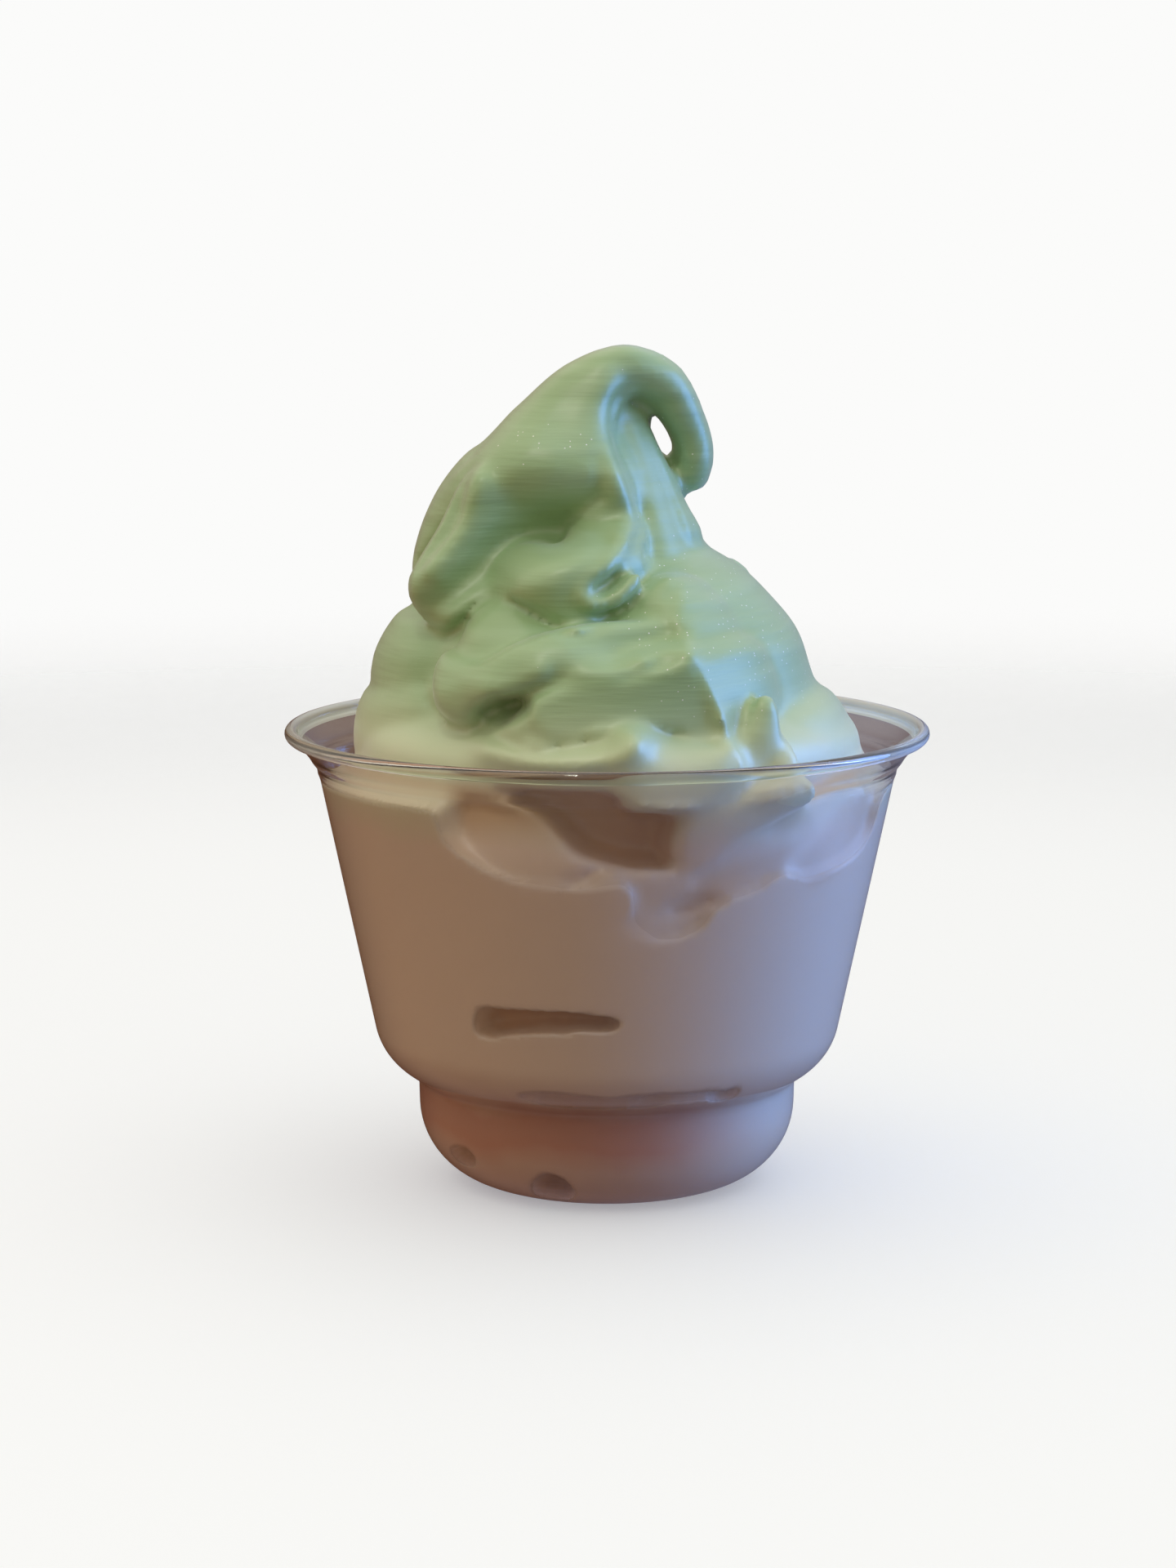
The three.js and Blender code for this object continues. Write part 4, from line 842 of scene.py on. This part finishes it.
# cream below and green above by height, painted warm light on the foot, painted shade in the hollows,
# streaks, and white specks on top painted as the glints of ice grains
def softServeMaterial():
    look = serveLook
    material, tree = newMaterial("soft_serve_drawn_moist")
    coords = addNode(tree, "TexCoord").outputs["Object"]
    place = addNode(tree, "SeparateXYZ", links={"Vector": coords})
    stretched = addNode(tree, "Mapping", {}, {
        "Scale": [1 / (mm * size) for size in look["streak"]]}, {"Vector": coords})
    streaks = addNode(tree, "TexNoise", {}, {"Scale": 1.0, "Detail": 3.0}, {
        "Vector": stretched.outputs[0]})
    mottle = addNode(tree, "TexNoise", {}, {"Scale": 1 / (mm * look["mottle"]), "Detail": 2.0}, {
        "Vector": coords})
    iceGlintCell = addNode(tree, "TexVoronoi", {}, {"Scale": 1 / (mm * look["iceGlintCell"])}, {"Vector": coords})
    above = addNode(tree, "MapRange", {"interpolation_type": "SMOOTHSTEP"}, {
        "From Min": look["greenFrom"][0] * mm, "From Max": look["greenFrom"][1] * mm}, {
        "Value": place.outputs["Z"]})

    uneven = addNode(tree, "Math", {"operation": "MULTIPLY_ADD"}, {1: look["uneven"] * mm}, {
        0: mottle.outputs["Fac"], 2: place.outputs["Z"]})
    lowest = look["uneven"] / 2
    share = addNode(tree, "MapRange", {}, {
        "From Min": lowest * mm, "From Max": (lowest + look["bandSpan"]) * mm}, {"Value": uneven.outputs[0]})
    banded = addNode(tree, "ValToRGB", {}, {}, {"Fac": share.outputs[0]}, [
        (z / look["bandSpan"], linear(tint)) for z, tint in look["bands"]])
    # painted warm light: a reddish band on the foot, full from the middle leftwards, standing in for the warm
    # room's reflected light
    warmLightBand = addNode(tree, "ValToRGB", {}, {}, {"Fac": share.outputs[0]}, [
        (z / look["bandSpan"], (k, k, k, 1)) for z, k in look["paintedWarmLightHeights"]])
    leftward = addNode(tree, "MapRange", {"interpolation_type": "SMOOTHSTEP"}, {
        "From Min": look["paintedWarmLightSide"][0] * mm, "From Max": look["paintedWarmLightSide"][1] * mm}, {
        "Value": place.outputs["X"]})
    warm = addNode(tree, "Math", {"operation": "MULTIPLY"}, {}, {
        0: warmLightBand.outputs[0], 1: leftward.outputs[0]})
    warmLit = addNode(tree, "Mix", {"data_type": "RGBA"}, {7: linear(look["paintedWarmLight"])}, {
        0: warm.outputs[0], 6: banded.outputs[0]})

    tone = addNode(tree, "MapRange", {}, {
        "From Min": look["toneFrom"][0], "From Max": look["toneFrom"][1]}, {"Value": streaks.outputs["Fac"]})
    green = addNode(tree, "Mix", {"data_type": "RGBA"}, {
        6: linear(look["pistachioDeep"]), 7: linear(look["pistachio"])}, {0: tone.outputs[0]})
    colour = addNode(tree, "Mix", {"data_type": "RGBA"}, {}, {
        0: above.outputs[0], 6: warmLit.outputs[2], 7: green.outputs[2]})
    # painted shade: the hollows behind the wall turn browner where their shadow falls
    shaded = addNode(tree, "Attribute", {"attribute_name": "hollowShade"})
    shadeShare = addNode(tree, "Math", {"operation": "MULTIPLY"}, {1: look["hollowShadeShare"]}, {
        0: shaded.outputs["Fac"]})
    withHollowShade = addNode(tree, "Mix", {"data_type": "RGBA"}, {7: linear(look["hollowShade"])}, {
        0: shadeShare.outputs[0], 6: colour.outputs[2]})

    # painted highlights: white specks, denser to the right where the window light falls, stand in for the
    # glints of ice grains
    picked = addNode(tree, "SeparateColor", links={0: iceGlintCell.outputs["Color"]})
    breezy = addNode(tree, "Math", {"operation": "MULTIPLY_ADD"}, {1: look["iceGlintLean"]}, {
        0: place.outputs["X"], 2: mottle.outputs["Fac"]})
    drift = addNode(tree, "MapRange", {}, {
        "From Min": look["iceGlintFrom"][0], "From Max": look["iceGlintFrom"][1], "To Min": 1.0,
        "To Max": 1 - look["iceGlintShare"]}, {"Value": breezy.outputs[0]})
    chosen = addNode(tree, "Math", {"operation": "GREATER_THAN"}, {}, {
        0: picked.outputs[0], 1: drift.outputs[0]})
    small = addNode(tree, "MapRange", {}, {
        "From Min": look["iceGlintSize"], "From Max": look["iceGlintCore"] * look["iceGlintSize"]}, {
        "Value": iceGlintCell.outputs["Distance"]})
    onTop = addNode(tree, "Math", {"operation": "MULTIPLY"}, {}, {
        0: chosen.outputs[0], 1: above.outputs[0]})
    iceGlints = addNode(tree, "Math", {"operation": "MULTIPLY"}, {}, {
        0: onTop.outputs[0], 1: small.outputs[0]})
    withIceGlints = addNode(tree, "Mix", {"data_type": "RGBA"}, {7: linear(look["iceGlint"])}, {
        0: iceGlints.outputs[0], 6: withHollowShade.outputs[2]})

    strength = addNode(tree, "Math", {"operation": "MULTIPLY"}, {1: look["streakStrength"]}, {
        0: above.outputs[0]})
    drawn = addNode(tree, "Bump", {}, {"Distance": look["streakDepth"] * mm}, {
        "Height": streaks.outputs["Fac"], "Strength": strength.outputs[0]})
    shader = addNode(tree, "BsdfPrincipled", {}, {
        "Roughness": look["roughness"], "IOR": look["ior"], "Subsurface Weight": look["scatter"],
        "Subsurface Radius": look["scatterRadius"], "Subsurface Scale": look["scatterDepth"] * mm,
        "Coat Weight": look["moist"], "Coat Roughness": look["moistRoughness"], "Coat IOR": look["moistIor"],
        "Sheen Weight": look["sheen"], "Sheen Roughness": look["sheenRoughness"],
    }, {"Base Color": withIceGlints.outputs[2], "Normal": drawn.outputs[0]})
    addNode(tree, "OutputMaterial", links={"Surface": shader.outputs[0]})
    return material


dressCup(cupPiece.data)
servePiece.data.materials.append(softServeMaterial())
for piece, node, slot in ((cupPiece, "cup", "clear_plastic"), (servePiece, "soft_serve", "soft_serve")):
    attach(piece, "root")
    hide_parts(node)
print("materials on, pieces ride on root")

# studio: pale floor that fades into a white background, soft light from above, a warm dim room on the left
# and a cool window on the right; a From pair is where, on its axis from -1 to 1, one tint starts to give way
# to another and where it has
studio = dict(
    floorRadius=900.0, floorThick=1.0, fade=(250.0, 800.0), floorAround=96,
    floor="#e4ebf4", floorGlow=0.35, floorRoughness=0.7,
    backdrop="#fbfbfa", overhead="#fff6e6", overheadStrength=0.98, overheadFrom=(-0.1, 0.8),
    roomLeft="#d3b59c", roomRight="#5a5656", roomStrength=1.0, sideFrom=(-0.8, 0.8),
    belowLeft="#b0805e", belowRight="#7a82a0", belowFrom=(-0.35, 0.05),
    backLeft="#5c3c2c", backRight="#737080", backFrom=(0.35, 0.95), halfFrom=(-0.1, 0.1),
    front="#6a4b38", frontFrom=(-0.3, -1.5),
    aim=(0.0, 0.0, 60.0),
    window=dict(place=(650, 40, 170), size=(500, 600), watts=5.4, colour="#70a6ff"),
    spot=dict(place=(-120, -330, 760), size=(45, 45), watts=0.5, colour="#fff8ee"),
)


# flat disc with its top at z = 0; its surface gives way to the background with the distance from the cup
def buildFloor():
    s = studio
    radius = np.array([[0.0], [s["floorRadius"]], [s["floorRadius"]], [0.0]])
    height = np.array([[-s["floorThick"]], [-s["floorThick"]], [0.0], [0.0]])
    floor = gridObject("floor", [ringGrid(radius, height, s["floorAround"])])
    material, tree = newMaterial("pale_studio_floor")
    coords = addNode(tree, "TexCoord").outputs["Object"]
    away = addNode(tree, "VectorMath", {"operation": "LENGTH"}, {}, {0: coords})
    far = addNode(tree, "MapRange", {"interpolation_type": "SMOOTHSTEP"}, {
        "From Min": s["fade"][0] * mm, "From Max": s["fade"][1] * mm}, {"Value": away.outputs["Value"]})
    pale = addNode(tree, "BsdfPrincipled", {}, {
        "Base Color": linear(s["floor"]), "Roughness": s["floorRoughness"],
        "Emission Color": linear(s["floor"]), "Emission Strength": s["floorGlow"]})
    clear = addNode(tree, "BsdfTransparent")
    mix = addNode(tree, "MixShader", links={
        0: far.outputs[0], 1: pale.outputs[0], 2: clear.outputs[0]})
    addNode(tree, "OutputMaterial", links={"Surface": mix.outputs[0]})
    floor.data.materials.append(material)
    # a white floor would show in the clear wall
    floor.visible_diffuse = floor.visible_glossy = floor.visible_transmission = False


# light by direction: room, below and back each run from a left to a right tint, the front is dimmed, and
# overhead lies over them all; the camera sees the plain backdrop
def buildWorld():
    s = studio
    world = bpy.data.worlds.new("studio")
    world.use_nodes = True
    tree = world.node_tree
    tree.nodes.clear()
    way = addNode(tree, "SeparateXYZ", links={
        "Vector": addNode(tree, "TexCoord").outputs["Generated"]})
    share, tint = {}, {}
    for name, axis, ease in (("side", "X", "LINEAR"), ("half", "X", "LINEAR"), ("front", "Y", "LINEAR"),
                             ("back", "Y", "SMOOTHSTEP"), ("below", "Z", "SMOOTHSTEP"),
                             ("overhead", "Z", "SMOOTHSTEP")):
        start, end = s[name + "From"]
        share[name] = addNode(tree, "MapRange", {"interpolation_type": ease}, {
            "From Min": start, "From Max": end}, {"Value": way.outputs[axis]}).outputs[0]
    for name, across in (("room", "side"), ("below", "side"), ("back", "half")):
        tint[name] = addNode(tree, "Mix", {"data_type": "RGBA"}, {
            6: linear(s[name + "Left"]), 7: linear(s[name + "Right"])}, {0: share[across]}).outputs[2]
    walls = addNode(tree, "Mix", {"data_type": "RGBA"}, {}, {
        0: share["below"], 6: tint["below"], 7: tint["room"]})
    dimmed = addNode(tree, "Mix", {"data_type": "RGBA"}, {7: linear(s["front"])}, {
        0: share["front"], 6: walls.outputs[2]})
    around = addNode(tree, "Mix", {"data_type": "RGBA"}, {}, {
        0: share["back"], 6: dimmed.outputs[2], 7: tint["back"]})
    room = addNode(tree, "Background", {}, {"Strength": s["roomStrength"]}, {
        "Color": around.outputs[2]})
    overhead = addNode(tree, "Background", {}, {
        "Color": linear(s["overhead"]), "Strength": s["overheadStrength"]})
    lit = addNode(tree, "MixShader", links={
        0: share["overhead"], 1: room.outputs[0], 2: overhead.outputs[0]})
    seen = addNode(tree, "Background", {}, {"Color": linear(s["backdrop"]), "Strength": 1.0})
    path = addNode(tree, "LightPath")
    both = addNode(tree, "MixShader", links={
        0: path.outputs["Is Camera Ray"], 1: lit.outputs[0], 2: seen.outputs[0]})
    addNode(tree, "OutputWorld", links={"Surface": both.outputs[0]})
    scene.world = world


# area lamps that look at the aim and light the pieces alone
def buildLamps():
    litPieces = bpy.data.collections.new("lit_by_the_window")
    for piece in (cupPiece, servePiece):
        litPieces.objects.link(piece)
    for name in ("window", "spot"):
        spec = studio[name]
        light = bpy.data.lights.new(name, "AREA")
        light.shape = "RECTANGLE"
        light.size, light.size_y = (side * mm for side in spec["size"])
        light.energy = spec["watts"]
        light.color = linear(spec["colour"])[:3]
        lamp = bpy.data.objects.new(name, light)
        lamp.location = [c * mm for c in spec["place"]]
        way = unit(np.array(studio["aim"]) - np.array(spec["place"], float))
        lamp.rotation_euler = (math.acos(-way[2]), 0, math.atan2(way[1], way[0]) - math.pi / 2)
        lamp.light_linking.receiver_collection = litPieces
        scene.collection.objects.link(lamp)


# lens in mm = focal length over image height, both in pixels, times the sensor
def buildCamera():
    lens = bpy.data.cameras.new("camera")
    lens.sensor_fit = "AUTO"
    lens.sensor_width = camera["sensor"]
    lens.lens = camera["focal"] / camera["imageHeight"] * camera["sensor"]
    lens.clip_start, lens.clip_end = camera["clip"]
    holder = bpy.data.objects.new("camera", lens)
    holder.location = [c * mm for c in camera["place"]]
    holder.rotation_euler = (math.radians(90 - camera["pitch"]), 0, 0)
    scene.collection.objects.link(holder)
    scene.camera = holder


buildFloor()
buildWorld()
buildLamps()
buildCamera()
scene.view_settings.view_transform = "Standard"
print("studio and camera ready")
